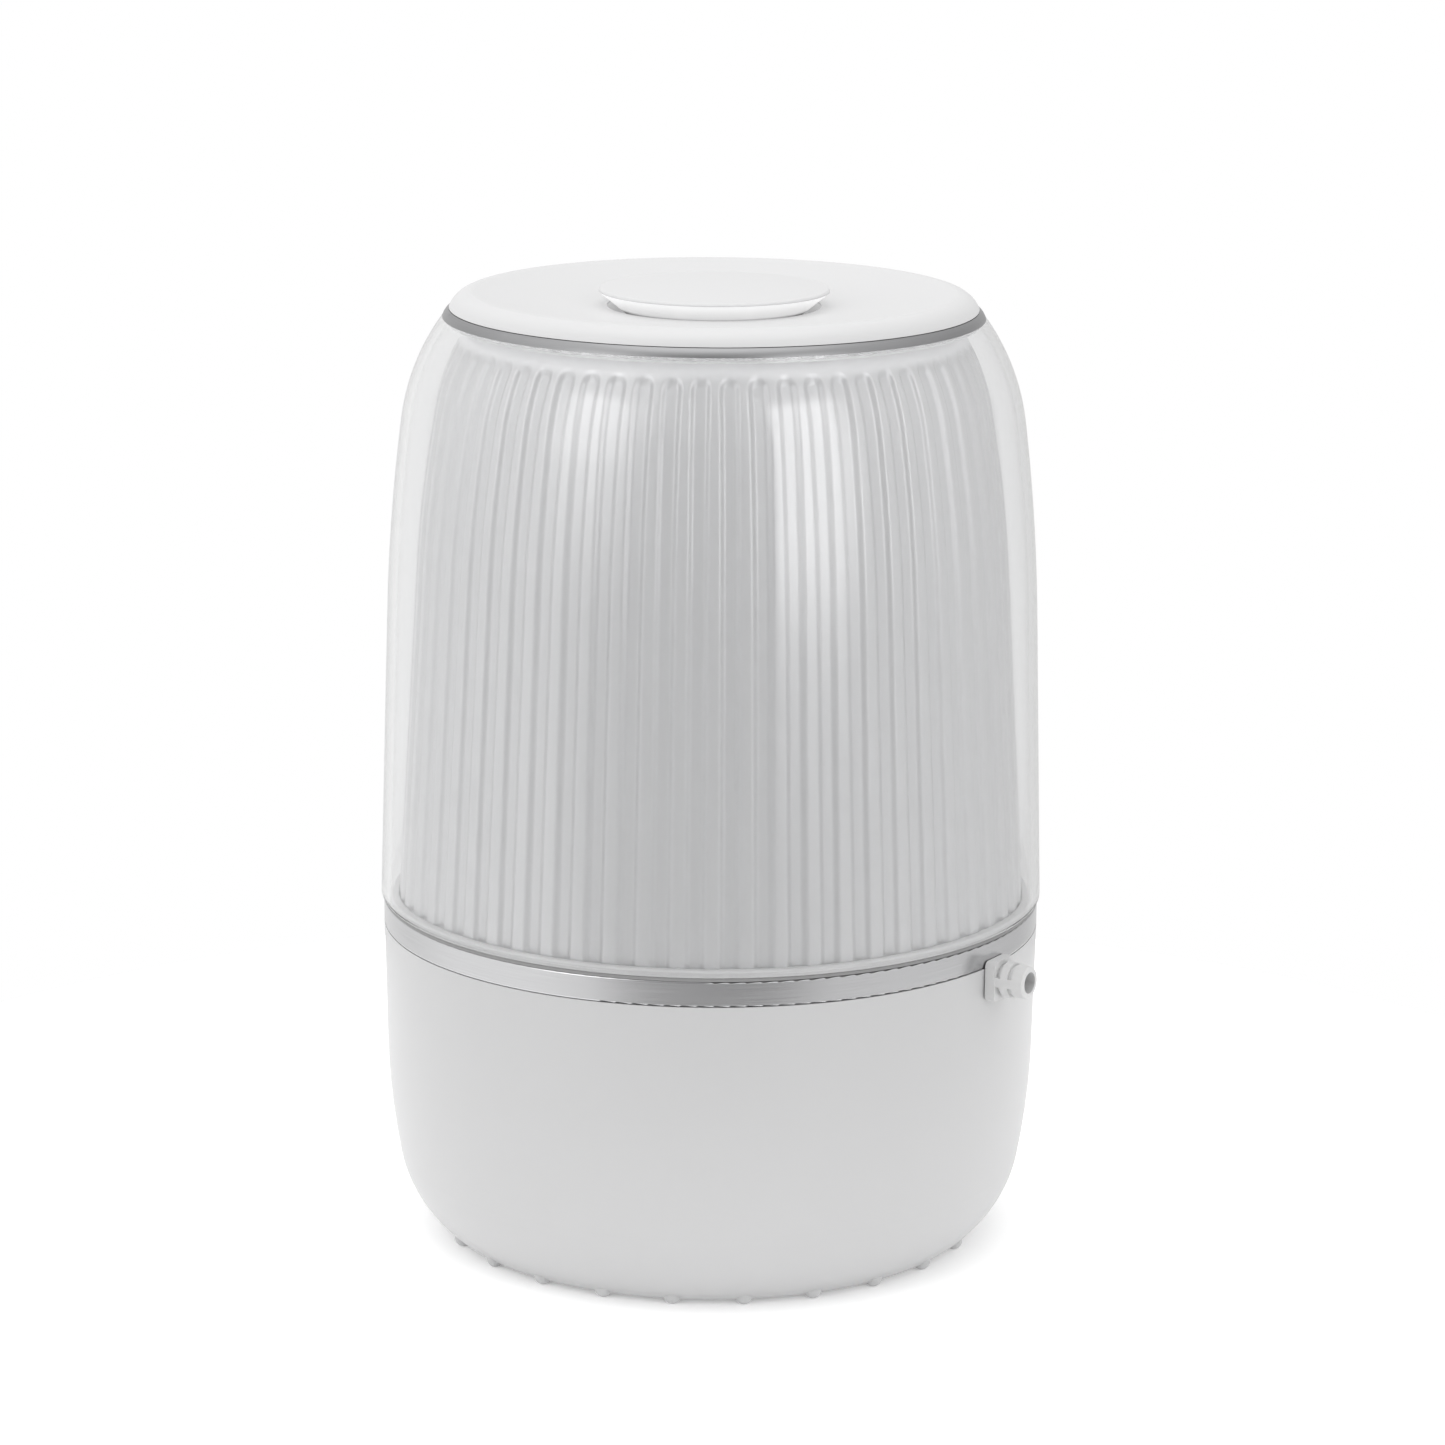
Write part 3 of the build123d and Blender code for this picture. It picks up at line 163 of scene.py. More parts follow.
def addBump(tree, shader, height, distance):
    bump = addNode(tree, "ShaderNodeBump")
    setInputs(bump, Distance=distance, Strength=1.0)
    tree.links.new(height, bump.inputs["Height"])
    tree.links.new(bump.outputs["Normal"], shader.inputs["Normal"])


# See-through veil, which takes the shader's place as far as the factor says
def addVeil(tree, factor, color):
    veil = addNode(tree, "ShaderNodeBsdfTransparent")
    veil.inputs["Color"].default_value = (*color, 1.0)
    blend = addNode(tree, "ShaderNodeMixShader")
    tree.links.new(factor, blend.inputs[0])
    tree.links.new(tree.nodes["Principled BSDF"].outputs[0], blend.inputs[1])
    tree.links.new(veil.outputs[0], blend.inputs[2])
    tree.links.new(blend.outputs[0], tree.nodes["Material Output"].inputs["Surface"])


# Middle value of a noise or wave, which its swing is measured from
middleValue = 0.5
# Moulded skin: the grain's share beside the waviness, and the middle of the two together
skinForm = {"grainShare": 0.35, "middle": 0.675}
# Turned lines: how far they drift in a turn, and how much their tone swings
lineForm = {"drift": 0.0012, "toneSpread": 0.12}
# Other effects: how much their roughness or tone swings
feltRoughSpread = 0.2
trackRoughSpread = -0.08
sheetToneSpread = 0.5


# Moulded skin: fine grain and slow waviness, as height, a roughness that wanders, and a tone near one
def makeMouldedSkin():
    scales = {"Grain Scale": 900.0, "Wave Scale": 14.0}
    settings = {**scales, "Roughness": 0.35, "Spread": 0.06, "Tone Spread": 0.02}
    group, given, result = newGroup("mouldedSkin", settings)
    coords = addNode(group, "ShaderNodeTexCoord")
    grain = addNode(group, "ShaderNodeTexNoise")
    wave = addNode(group, "ShaderNodeTexNoise")
    setInputs(grain, Detail=2.0, Roughness=0.6)
    setInputs(wave, Detail=3.0, Roughness=0.5)
    for noise, label in ((grain, "Grain Scale"), (wave, "Wave Scale")):
        group.links.new(coords.outputs["Object"], noise.inputs["Vector"])
        group.links.new(given.outputs[label], noise.inputs["Scale"])
    mixed = swingAbout(group, wave.outputs["Fac"], grain.outputs["Fac"], skinForm["grainShare"])
    swing = mathNode(group, "SUBTRACT", mixed, skinForm["middle"])
    rough = swingAbout(group, given.outputs["Roughness"], swing, given.outputs["Spread"])
    tone = swingAbout(group, 1.0, swing, given.outputs["Tone Spread"])
    putOut(group, result, grain.outputs["Fac"], rough, tone)
    return group


# Turned lines: noise drawn out along each turn about the axis, which varies mostly with radius and height
def makeTurnedLines():
    settings = {"Line Scale": 2600.0, "Roughness": 0.3, "Spread": 0.12}
    group, given, result = newGroup("turnedLines", settings)
    coords = addNode(group, "ShaderNodeTexCoord")
    across, along, up = splitVector(group, coords.outputs["Object"])
    angle = mathNode(group, "ARCTAN2", along, across)
    joined = addNode(group, "ShaderNodeCombineXYZ")
    group.links.new(axisRadius(group, across, along), joined.inputs["X"])
    group.links.new(mathNode(group, "MULTIPLY", angle, lineForm["drift"]), joined.inputs["Y"])
    group.links.new(up, joined.inputs["Z"])
    lines = addNode(group, "ShaderNodeTexNoise")
    setInputs(lines, Detail=2.0, Roughness=0.55)
    group.links.new(joined.outputs[0], lines.inputs["Vector"])
    group.links.new(given.outputs["Line Scale"], lines.inputs["Scale"])
    swing = mathNode(group, "SUBTRACT", lines.outputs["Fac"], middleValue)
    rough = swingAbout(group, given.outputs["Roughness"], swing, given.outputs["Spread"])
    tone = swingAbout(group, 1.0, swing, lineForm["toneSpread"])
    putOut(group, result, lines.outputs["Fac"], rough, tone)
    return group


# Fibre felt: noise that is bent by itself, so that it lies in strands, with deep gaps between them
def makeFibreFelt():
    settings = {"Fibre Scale": 700.0, "Roughness": 0.85, "Tone Spread": 0.5}
    group, given, result = newGroup("fibreFelt", settings)
    coords = addNode(group, "ShaderNodeTexCoord")
    strands = addNode(group, "ShaderNodeTexNoise")
    setInputs(strands, Detail=6.0, Roughness=0.7, Distortion=2.2)
    group.links.new(coords.outputs["Object"], strands.inputs["Vector"])
    group.links.new(given.outputs["Fibre Scale"], strands.inputs["Scale"])
    swing = mathNode(group, "SUBTRACT", strands.outputs["Fac"], middleValue)
    tone = swingAbout(group, 1.0, swing, given.outputs["Tone Spread"])
    rough = swingAbout(group, given.outputs["Roughness"], swing, feltRoughSpread)
    putOut(group, result, strands.outputs["Fac"], rough, tone)
    return group


# Board tracks: the joints of a wall of staggered bricks stand for raised copper under the green lacquer
def makeBoardTracks():
    settings = {"Track Scale": 240.0, "Roughness": 0.32, "Track Tone": 1.1}
    group, given, result = newGroup("boardTracks", settings)
    coords = addNode(group, "ShaderNodeTexCoord")
    tracks = addNode(group, "ShaderNodeTexBrick", offset=0.37, squash=1.6, squash_frequency=3)
    setInputs(tracks, Mortar_Size=0.05, Mortar_Smooth=0.2, Brick_Width=0.9, Row_Height=0.3)
    group.links.new(coords.outputs["Object"], tracks.inputs["Vector"])
    group.links.new(given.outputs["Track Scale"], tracks.inputs["Scale"])
    line = tracks.outputs["Fac"]
    tone = swingAbout(group, 1.0, line, given.outputs["Track Tone"])
    rough = swingAbout(group, given.outputs["Roughness"], line, trackRoughSpread)
    putOut(group, result, line, rough, tone)
    return group


# Laminations: even bands along the axis, as the edges of stacked sheets
def makeLaminations():
    settings = {"Sheet Scale": 630.0, "Roughness": 0.42, "Spread": 0.15}
    group, given, result = newGroup("laminations", settings)
    coords = addNode(group, "ShaderNodeTexCoord")
    sheets = addNode(group, "ShaderNodeTexWave", wave_type="BANDS", bands_direction="Z")
    setInputs(sheets, Distortion=0.0)
    group.links.new(coords.outputs["Object"], sheets.inputs["Vector"])
    group.links.new(given.outputs["Sheet Scale"], sheets.inputs["Scale"])
    swing = mathNode(group, "SUBTRACT", sheets.outputs["Fac"], middleValue)
    rough = swingAbout(group, given.outputs["Roughness"], swing, given.outputs["Spread"])
    tone = swingAbout(group, 1.0, swing, sheetToneSpread)
    putOut(group, result, sheets.outputs["Fac"], rough, tone)
    return group


mouldedSkin = makeMouldedSkin()
turnedLines = makeTurnedLines()
fibreFelt = makeFibreFelt()
boardTracks = makeBoardTracks()
laminations = makeLaminations()

# Depth of the relief of each effect, in metres
bumpDepths = {"fine": 0.000004, "track": 0.00003, "sheet": 0.00005, "paper": 0.00004, "carbon": 0.0003}


# A finish takes a group's height, roughness and tone, and keeps every other value on the shader itself
def dressShader(tree, shader, group, color, bumpDistance, **settings):
    effect = addNode(tree, "ShaderNodeGroup", node_tree=group)
    setInputs(effect, **settings)
    tree.links.new(effect.outputs["Roughness"], shader.inputs["Roughness"])
    tint = addNode(tree, "ShaderNodeVectorMath", operation="SCALE")
    tint.inputs[0].default_value = color
    tree.links.new(effect.outputs["Tone"], tint.inputs["Scale"])
    tree.links.new(tint.outputs[0], shader.inputs["Base Color"])
    addBump(tree, shader, effect.outputs["Height"], bumpDistance)


def mouldedPlastic(name, color, roughness, **constants):
    material, tree, shader = newMaterial(name, color, IOR=1.5, **constants)
    dressShader(tree, shader, mouldedSkin, color, bumpDepths["fine"], Roughness=roughness)
    return material


def turnedMetal(name, color, roughness):
    material, tree, shader = newMaterial(name, color, Metallic=1.0)
    dressShader(tree, shader, turnedLines, color, bumpDepths["fine"], Roughness=roughness)
    return material


def fibreSheet(name, color, fibres, toneSpread, bump):
    material, tree, shader = newMaterial(name, color, IOR=1.45)
    dressShader(tree, shader, fibreFelt, color, bump, Fibre_Scale=fibres, Tone_Spread=toneSpread)
    return material


def circuitBoard(name, color):
    material, tree, shader = newMaterial(name, color, IOR=1.5, Coat_Weight=0.4, Coat_Roughness=0.15)
    dressShader(tree, shader, boardTracks, color, bumpDepths["track"])
    return material


def stackedSheets(name, color):
    material, tree, shader = newMaterial(name, color, Metallic=1.0)
    dressShader(tree, shader, laminations, color, bumpDepths["sheet"])
    return material


# Lit lens: resin that gives off a little of its own warm light
def litLens(name, color):
    warmLight = (1.0, 0.86, 0.55, 1.0)
    return mouldedPlastic(name, color, 0.18, Emission_Color=warmLight, Emission_Strength=0.5)


# Clear dome: polished plastic that lets the studio light straight through to the shade
clearForm = {"color": (0.95, 0.952, 0.955), "roughness": 0.02, "ior": 1.49, "veil": (0.93, 0.93, 0.93)}


def clearPlastic(form):
    material, tree, shader = newMaterial("clearPlastic", form["color"], Transmission_Weight=1.0)
    setInputs(shader, Roughness=form["roughness"], IOR=form["ior"])
    addVeil(tree, addNode(tree, "ShaderNodeLightPath").outputs["Is Shadow Ray"], form["veil"])
    return material


# Fluted silver: satin paint whose tone follows the form, with painted shade on the flutes' sides and painted
# light on the shoulder
silverForm = {"color": (0.658, 0.658, 0.663), "metallic": 0.25, "roughness": 0.32, "spread": 0.05}


def flutedSilver(form):
    material, tree, shader = newMaterial("silverShade", form["color"], IOR=1.5, Metallic=form["metallic"])
    effect = addNode(tree, "ShaderNodeGroup", node_tree=mouldedSkin)
    setInputs(effect, Roughness=form["roughness"], Spread=form["spread"])
    level = addNode(tree, "ShaderNodeAttribute", attribute_name="tone")
    tint = addNode(tree, "ShaderNodeVectorMath", operation="SCALE")
    tint.inputs[0].default_value = form["color"]
    tree.links.new(level.outputs["Fac"], tint.inputs["Scale"])
    tree.links.new(tint.outputs[0], shader.inputs["Base Color"])
    tree.links.new(effect.outputs["Roughness"], shader.inputs["Roughness"])
    addBump(tree, shader, effect.outputs["Height"], bumpDepths["fine"])
    return material


# Painted bounce light: the surface gives off white light of its own where a mask picks it out, in place of
# the light that close white walls throw back and forth
def addPaintedBounce(material, mask, level):
    tree = material.node_tree
    shader = tree.nodes["Principled BSDF"]
    glow = addNode(tree, "ShaderNodeVectorMath", operation="SCALE")
    glow.inputs[0].default_value = (level, level, level)
    tree.links.new(mask, glow.inputs["Scale"])
    tree.links.new(glow.outputs[0], shader.inputs["Emission Color"])
    shader.inputs["Emission Strength"].default_value = 1.0


# White plastic that the cap and the button share
whiteForm = {"color": (0.6, 0.6, 0.603), "roughness": 0.34}
# Button: painted bounce light where its wall turns under, in place of light from the dish, in metres
buttonPaintedBounce = {"lean": (0.1, -0.55), "rise": (0.2702, 0.2714), "level": 0.48}
# Cap: painted bounce light inside the round outlet, in metres
capPaintedBounce = {"edge": (0.0314, 0.0308), "rise": (0.2714, 0.2704), "level": 0.26}


# Button plastic with painted bounce light on the underside of its wall
def buttonPlastic(form):
    material = mouldedPlastic("buttonPlastic", **whiteForm)
    tree = material.node_tree
    lean = splitVector(tree, addNode(tree, "ShaderNodeNewGeometry").outputs["Normal"])[2]
    height = splitVector(tree, addNode(tree, "ShaderNodeTexCoord").outputs["Object"])[2]
    raised = rampNode(tree, height, form["rise"])
    under = mathNode(tree, "MULTIPLY", rampNode(tree, lean, form["lean"]), raised)
    addPaintedBounce(material, under, form["level"])
    return material


# Cap plastic with painted bounce light on the wall of its round outlet
def capPlastic(form):
    material = mouldedPlastic("capPlastic", **whiteForm)
    tree = material.node_tree
    across, along, height = splitVector(tree, addNode(tree, "ShaderNodeTexCoord").outputs["Object"])
    within = rampNode(tree, axisRadius(tree, across, along), form["edge"])
    inside = mathNode(tree, "MULTIPLY", within, rampNode(tree, height, form["rise"]))
    addPaintedBounce(material, inside, form["level"])
    return material


finishes = {
    "white_plastic": mouldedPlastic("whitePlastic", **whiteForm),
    "silver_trim": turnedMetal("silverTrim", (0.545, 0.545, 0.552), 0.2),
    "dark_seal": mouldedPlastic("darkSeal", (0.24, 0.24, 0.24), 0.6),
    "clear_plastic": clearPlastic(clearForm),
    "silver_shade": flutedSilver(silverForm),
    "gland_plastic": mouldedPlastic("glandPlastic", (0.6, 0.6, 0.6), 0.45),
    "inner_plastic": mouldedPlastic("innerPlastic", (0.7, 0.7, 0.69), 0.5),
    "impeller_plastic": mouldedPlastic("impellerPlastic", (0.05, 0.05, 0.055), 0.42),
    "steel": turnedMetal("platedSteel", (0.62, 0.62, 0.61), 0.28),
    "motor_steel": turnedMetal("drawnSteel", (0.5, 0.5, 0.5), 0.35),
    "motor_core": stackedSheets("laminatedCore", (0.2, 0.2, 0.21)),
    "brass_nut": turnedMetal("turnedBrass", (0.72, 0.53, 0.25), 0.25),
    "board": circuitBoard("greenBoard", (0.02, 0.12, 0.05)),
    "component": mouldedPlastic("blackParts", (0.03, 0.03, 0.032), 0.45),
    "light_lens": litLens("lightLens", (0.9, 0.82, 0.5)),
    "lead_sleeve": mouldedPlastic("leadSleeve", (0.06, 0.06, 0.065), 0.5),
    "filter_paper": fibreSheet("filterPaper", (0.82, 0.81, 0.77), 900.0, 0.35, bumpDepths["paper"]),
    "carbon_felt": fibreSheet("carbonFelt", (0.022, 0.022, 0.022), 420.0, 1.4, bumpDepths["carbon"]),
}

# Nodes whose finish differs from the rest of their slot; the bowl's white is darker than the cap's, as
# painted shade
ownFinishes = {
    "cap_ring": turnedMetal("ringSatin", (0.275, 0.275, 0.28), 0.36),
    "top_button": buttonPlastic(buttonPaintedBounce),
    "top_cap": capPlastic(capPaintedBounce),
    "base_shell": mouldedPlastic("bowlPlasticPaintedShade", (0.512, 0.512, 0.515), 0.34),
}


def finishNodes():
    for part in frame["record"]["subparts"]:
        finish = ownFinishes.get(part["node"], finishes[part["material_slot"]])
        for slot in nodes[part["node"]].material_slots:
            slot.material = finish


finishNodes()
print("finishes set:", len(finishes))

# Points closer than this, in metres, are one pole
poleReach = 1e-7


# Points that a profile leaves on its own axis become one
def closePoles(mesh):
    work = bmesh.new()
    work.from_mesh(mesh)
    bmesh.ops.remove_doubles(work, verts=work.verts, dist=poleReach)
    work.to_mesh(mesh)
    work.free()


# Surfaces: a grid of points, or a stack of them, becomes quads, closed along either way where asked
def addSurface(name, grid, closeAcross=False, closeAlong=False, sharpAngle=35.0, poles=False):
    copies, across, along = grid.reshape(-1, *grid.shape[-3:]).shape[:3]
    index = np.arange(across * along).reshape(across, along)
    rows = np.vstack([index, index[:1]]) if closeAcross else index
    rows = np.hstack([rows, rows[:, :1]]) if closeAlong else rows
    quads = np.stack([rows[:-1, :-1], rows[1:, :-1], rows[1:, 1:], rows[:-1, 1:]], axis=-1).reshape(-1, 4)
    quads = (quads[None] + np.arange(copies)[:, None, None] * across * along).reshape(-1, 4)
    mesh = bpy.data.meshes.new(name)
    mesh.vertices.add(copies * across * along)
    mesh.vertices.foreach_set("co", grid.astype(np.float32).ravel())
    mesh.loops.add(quads.size)
    mesh.loops.foreach_set("vertex_index", quads.astype(np.int32).ravel())
    mesh.polygons.add(len(quads))
    mesh.polygons.foreach_set("loop_start", np.arange(0, quads.size, 4, dtype=np.int32))
    mesh.update(calc_edges=True)
    if poles:
        closePoles(mesh)
    mesh.polygons.foreach_set("use_smooth", np.ones(len(mesh.polygons), dtype=bool))
    mesh.set_sharp_from_angle(angle=radians(sharpAngle))
    piece = bpy.data.objects.new(name, mesh)
    scene.collection.objects.link(piece)
    return piece


# One value for each point of a piece, for its material to read
def addLevels(piece, name, values):
    levels = piece.data.attributes.new(name, "FLOAT", "POINT")
    levels.data.foreach_set("value", values.astype(np.float32).ravel())


def seatPiece(piece, body, slot, *replaced, finish=None):
    piece.data.materials.append(finish or finishes[slot])
    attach(piece, body)
    if replaced:
        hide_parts(*replaced)


# A profile turned once about the axis, closed along itself, in millimetres
def turnProfile(name, radius, height, turns=256, sharpAngle=35.0):
    turn = np.arange(turns)[:, None] * 2 * np.pi / turns
    grid = np.stack([radius * np.cos(turn), radius * np.sin(turn), height + 0 * turn], axis=-1)
    return addSurface(name, grid * mm, closeAcross=True, closeAlong=True, sharpAngle=sharpAngle)


# Points on each stretch of a flank: its foot, the rest of its straight run, and its two arcs
flankSteps = {"foot": 14, "run": 6, "lower": 14, "upper": 26}


# Flank: radius, height, lean and length of a straight run followed by two tangent arcs
def flankOutline(form):
    lean, waist, tuck = (radians(form[key]) for key in ("lean", "waist", "tuck"))
    arcRise = form["sweep"] * (sin(waist) - sin(lean)) + form["corner"] * (sin(tuck) - sin(waist))
    run = (form["top"] - form["low"] - arcRise) / cos(lean)
    footSteps = np.linspace(0, form["foot"], flankSteps["foot"])
    steps = np.concatenate([footSteps, np.linspace(form["foot"], run, flankSteps["run"])[1:]])
    straight = np.stack([form["rim"] - steps * sin(lean), form["low"] + steps * cos(lean)])
    lower = np.linspace(lean, waist, flankSteps["lower"])[1:]
    upper = np.linspace(waist, tuck, flankSteps["upper"])[1:]
    lowerCentre = straight[:, -1] - form["sweep"] * np.array([cos(lean), sin(lean)])
    lowerArc = lowerCentre[:, None] + form["sweep"] * np.stack([np.cos(lower), np.sin(lower)])
    upperCentre = lowerArc[:, -1] - form["corner"] * np.array([cos(waist), sin(waist)])
    upperArc = upperCentre[:, None] + form["corner"] * np.stack([np.cos(upper), np.sin(upper)])
    radius, height = np.concatenate([straight, lowerArc, upperArc], axis=1)
    leans = np.concatenate([np.full(len(steps), lean), lower, upper])
    length = np.concatenate([steps, run + form["sweep"] * (lower - lean)])
    length = np.concatenate([length, length[-1] + form["corner"] * (upper - waist)])
    return radius, height, leans, length


# Fluted shade, in millimetres
shadeForm = {
    "rim": 90.5,
    "low": 101.5,
    "top": 265.8,
    "lean": 3.4,
    "waist": 11.0,
    "tuck": 35.7,
    "sweep": 357.0,
    "corner": 55.5,
    "foot": 7.9,
    "wall": 2.4,
    "flange": 11.0,
    "skirt": 90.0,
    "skirtLow": 93.5,
    "flutes": 60,
    "fluteTurn": -92.7,
    "fluteFloor": 2.6,
    "fluteWidth": 6.2,
    "fluteDepth": 1.1,
    "fluteFoot": -4.0,
    "fluteTuck": 27.5,
    "shoulder": (28.5, 33.0),
    "shoulderPaintedLight": 1.47,
    "flankPaintedShade": 0.96,
    "pointsPerFlute": 20,
    "innerSkip": 3,
}


# Smooth step from none at low to one at high, level at both ends
def easeStep(value, low, high):
    share = np.clip((value - low) / (high - low), 0, 1)
    return share * share * (3 - 2 * share)


# Flute depth: full over its floor, eased to nothing at its crest, by the distance to a line with round ends
def fluteSink(form, across, along):
    away = np.hypot(across, along)
    return form["fluteDepth"] * (1 - easeStep(away, form["fluteFloor"] / 2, form["fluteWidth"] / 2))


def makeShade(form):
    radius, height, leans, length = flankOutline(form)
    count = form["flutes"] * form["pointsPerFlute"]
    pitch = 2 * np.pi / form["flutes"]
    step = np.arange(count) * 2 * np.pi / count
    turn = step + radians(form["fluteTurn"])
    off = np.mod(step + pitch / 2, pitch) - pitch / 2
    first = form["fluteFoot"] + form["fluteWidth"] / 2
    arcs = leans > leans[0]
    last = np.interp(radians(form["fluteTuck"]), leans[arcs], length[arcs])
    beyond = np.maximum(0, np.maximum(first - length, length - last))
    sink = fluteSink(form, off[:, None] * radius[None], beyond[None])
    outerRadius = radius[None] - sink * np.cos(leans)[None]
    outerHeight = height[None] - sink * np.sin(leans)[None]
    inner = radius - form["wall"] * np.cos(leans)
    innerHeight = np.minimum(height - form["wall"] * np.sin(leans), form["top"] - form["wall"])
    flangeEdge = radius[-1] - form["flange"]
    skirtIn = form["skirt"] - form["wall"]
    edges = [skirtIn, skirtIn, form["skirt"], form["skirt"]]
    levels = [form["low"] - form["wall"] / 2, form["skirtLow"], form["skirtLow"], form["low"]]
    ringRadius = np.concatenate([[flangeEdge, flangeEdge], inner[:: -form["innerSkip"]], edges])
    flangeLevels = [form["top"], form["top"] - form["wall"]]
    ringHeight = np.concatenate([flangeLevels, innerHeight[:: -form["innerSkip"]], levels])
    spread = np.ones((count, 1))
    allRadius = np.hstack([outerRadius, ringRadius[None] * spread])
    allHeight = np.hstack([outerHeight, ringHeight[None] * spread])
    across, along = allRadius * np.cos(turn)[:, None], allRadius * np.sin(turn)[:, None]
    grid = np.stack([across, along, allHeight], axis=-1)
    shade = addSurface("flutedShade", grid * mm, closeAcross=True, closeAlong=True, sharpAngle=40.0)
    # Painted shade on the flutes' sides and painted light on the shoulder, in the tone that the material
    # reads
    share = sink / form["fluteDepth"]
    tone = 1 - (1 - form["flankPaintedShade"]) * 4 * share * (1 - share)
    shoulder = easeStep(np.degrees(leans), *form["shoulder"])[None]
    tone = tone + (form["shoulderPaintedLight"] - 1) * shoulder * (1 - share)
    tone = np.hstack([tone, np.ones((count, len(ringRadius)))])
    addLevels(shade, "tone", tone)
    return shade


seatPiece(makeShade(shadeForm), "dome", "silver_shade", "fluted_shade")
print("shade made")

# Clear dome, in millimetres: its wall, the white printed lip that the cap clamps, the dark seal that the wall
# stands on, and the pale foot inside its rim, where the lip's print and the foot carry painted light
domeForm = {
    "rim": 95.8,
    "low": 100.4,
    "top": 268.2,
    "lean": 1.69,
    "waist": 7.53,
    "tuck": 36.7,
    "sweep": 544.2,
    "corner": 62.35,
    "foot": 4.0,
    "wall": 2.6,
    "rimRound": 0.9,
    "rimSteps": 7,
    "turns": 288,
}
lipForm = {"inner": 61.1, "outer": 74.6, "low": 265.85, "top": 268.15, "round": 0.2}
sealForm = {"inner": 92.5, "outer": 95.1, "low": 99.4, "top": 100.35, "round": 0.2}
footForm = {"inner": 90.7, "outer": 93.0, "low": 100.5, "top": 102.0, "round": 0.5}


# Wall: the flank, its inner twin one wall in, and a rim whose two corners are quarter circles
def makeDome(form):
    radius, height, leans, length = flankOutline(form)
    keep = length > form["rimRound"]
    radius, height, leans = radius[keep], height[keep], leans[keep]
    inner = radius - form["wall"] * np.cos(leans)
    innerHeight = height - form["wall"] * np.sin(leans)
    bend = np.linspace(0, np.pi / 2, form["rimSteps"])[1:]
    level, side = form["rimRound"] * np.sin(bend), form["rimRound"] * np.cos(bend)
    middle = form["low"] + form["rimRound"]
    innerCorner = inner[0] + form["rimRound"]
    outerCorner = radius[0] - form["rimRound"]
    rimRadius = np.concatenate([innerCorner - side, outerCorner + level])
    rimHeight = np.concatenate([middle - level, middle - side])
    allRadius = np.concatenate([radius, inner[::-1], rimRadius])
    allHeight = np.concatenate([height, innerHeight[::-1], rimHeight])
    return turnProfile("clearDome", allRadius[None], allHeight[None], turns=form["turns"], sharpAngle=50.0)


# Ring: a square section whose upper outer corner is cut
def makeRing(name, form):
    corner = form["round"]
    radius = [form["inner"], form["outer"] - corner, form["outer"], form["outer"], form["inner"]]
    height = [form["top"], form["top"], form["top"] - corner, form["low"], form["low"]]
    return turnProfile(name, np.array([radius[::-1]]), np.array([height[::-1]]))


seatPiece(makeDome(domeForm), "dome", "clear_plastic", "outer_dome")
# Lip print and foot, paler than the white plastic: painted light where the lip and the dome's foot lie in
# shade
lipPrintAndPaintedLight = mouldedPlastic("lipPrintAndPaintedLight", (0.93, 0.93, 0.93), 0.6)
footPaintedLight = mouldedPlastic("footPaintedLight", (0.7, 0.7, 0.7), 0.5)
seatPiece(makeRing("printedLipPaintedLight", lipForm), "dome", "white_plastic", finish=lipPrintAndPaintedLight)
seatPiece(makeRing("domeFoot", footForm), "dome", "white_plastic", finish=footPaintedLight)
seatPiece(makeRing("jointSeal", sealForm), "housing", "dark_seal", "dome_seal")
print("dome made")

# Screws, in millimetres: the crown of a head falls with the square of its radius, and a cross is sunk into it
screwForm = {
    "head": 2.6,
    "headHeight": 1.8,
    "crown": 0.35,
    "edge": 0.45,
    "shank": 1.4,
    "tip": 0.5,
    "crossReach": 1.45,
    "crossHalf": 0.36,
    "crossEase": 0.1,
    "crossDepth": 0.75,
    "reach": 5.3,
    "turns": 48,
    "crownSteps": 18,
    "edgeSteps": 5,
}
screwSets = [
    {"node": "deck_screws", "body": "housing", "facing": 1},
    {"node": "housing_screws", "body": "housing", "facing": 1},
    {"node": "motor_screws", "body": "housing", "facing": 1},
    {"node": "board_screws", "body": "housing", "facing": 1},
    {"node": "cap_screws", "body": "dome", "facing": -1},
    {"node": "grille_screws", "body": "dome", "facing": -1},
]


# Middles of a node's separate solids: the points within reach of one another, gathered solid by solid
def solidMiddles(name, reach):
    mesh = nodes[name].data
    points = np.empty(len(mesh.vertices) * 3, dtype=np.float32)
    mesh.vertices.foreach_get("co", points)
    points = points.reshape(-1, 3) / mm
    middles = []
    while len(points):
        near = np.hypot(*(points[:, :2] - points[0, :2]).T) <= reach
        middles.append((points[near].min(axis=0) + points[near].max(axis=0)) / 2)
        points = points[~near]
    return np.array(middles)


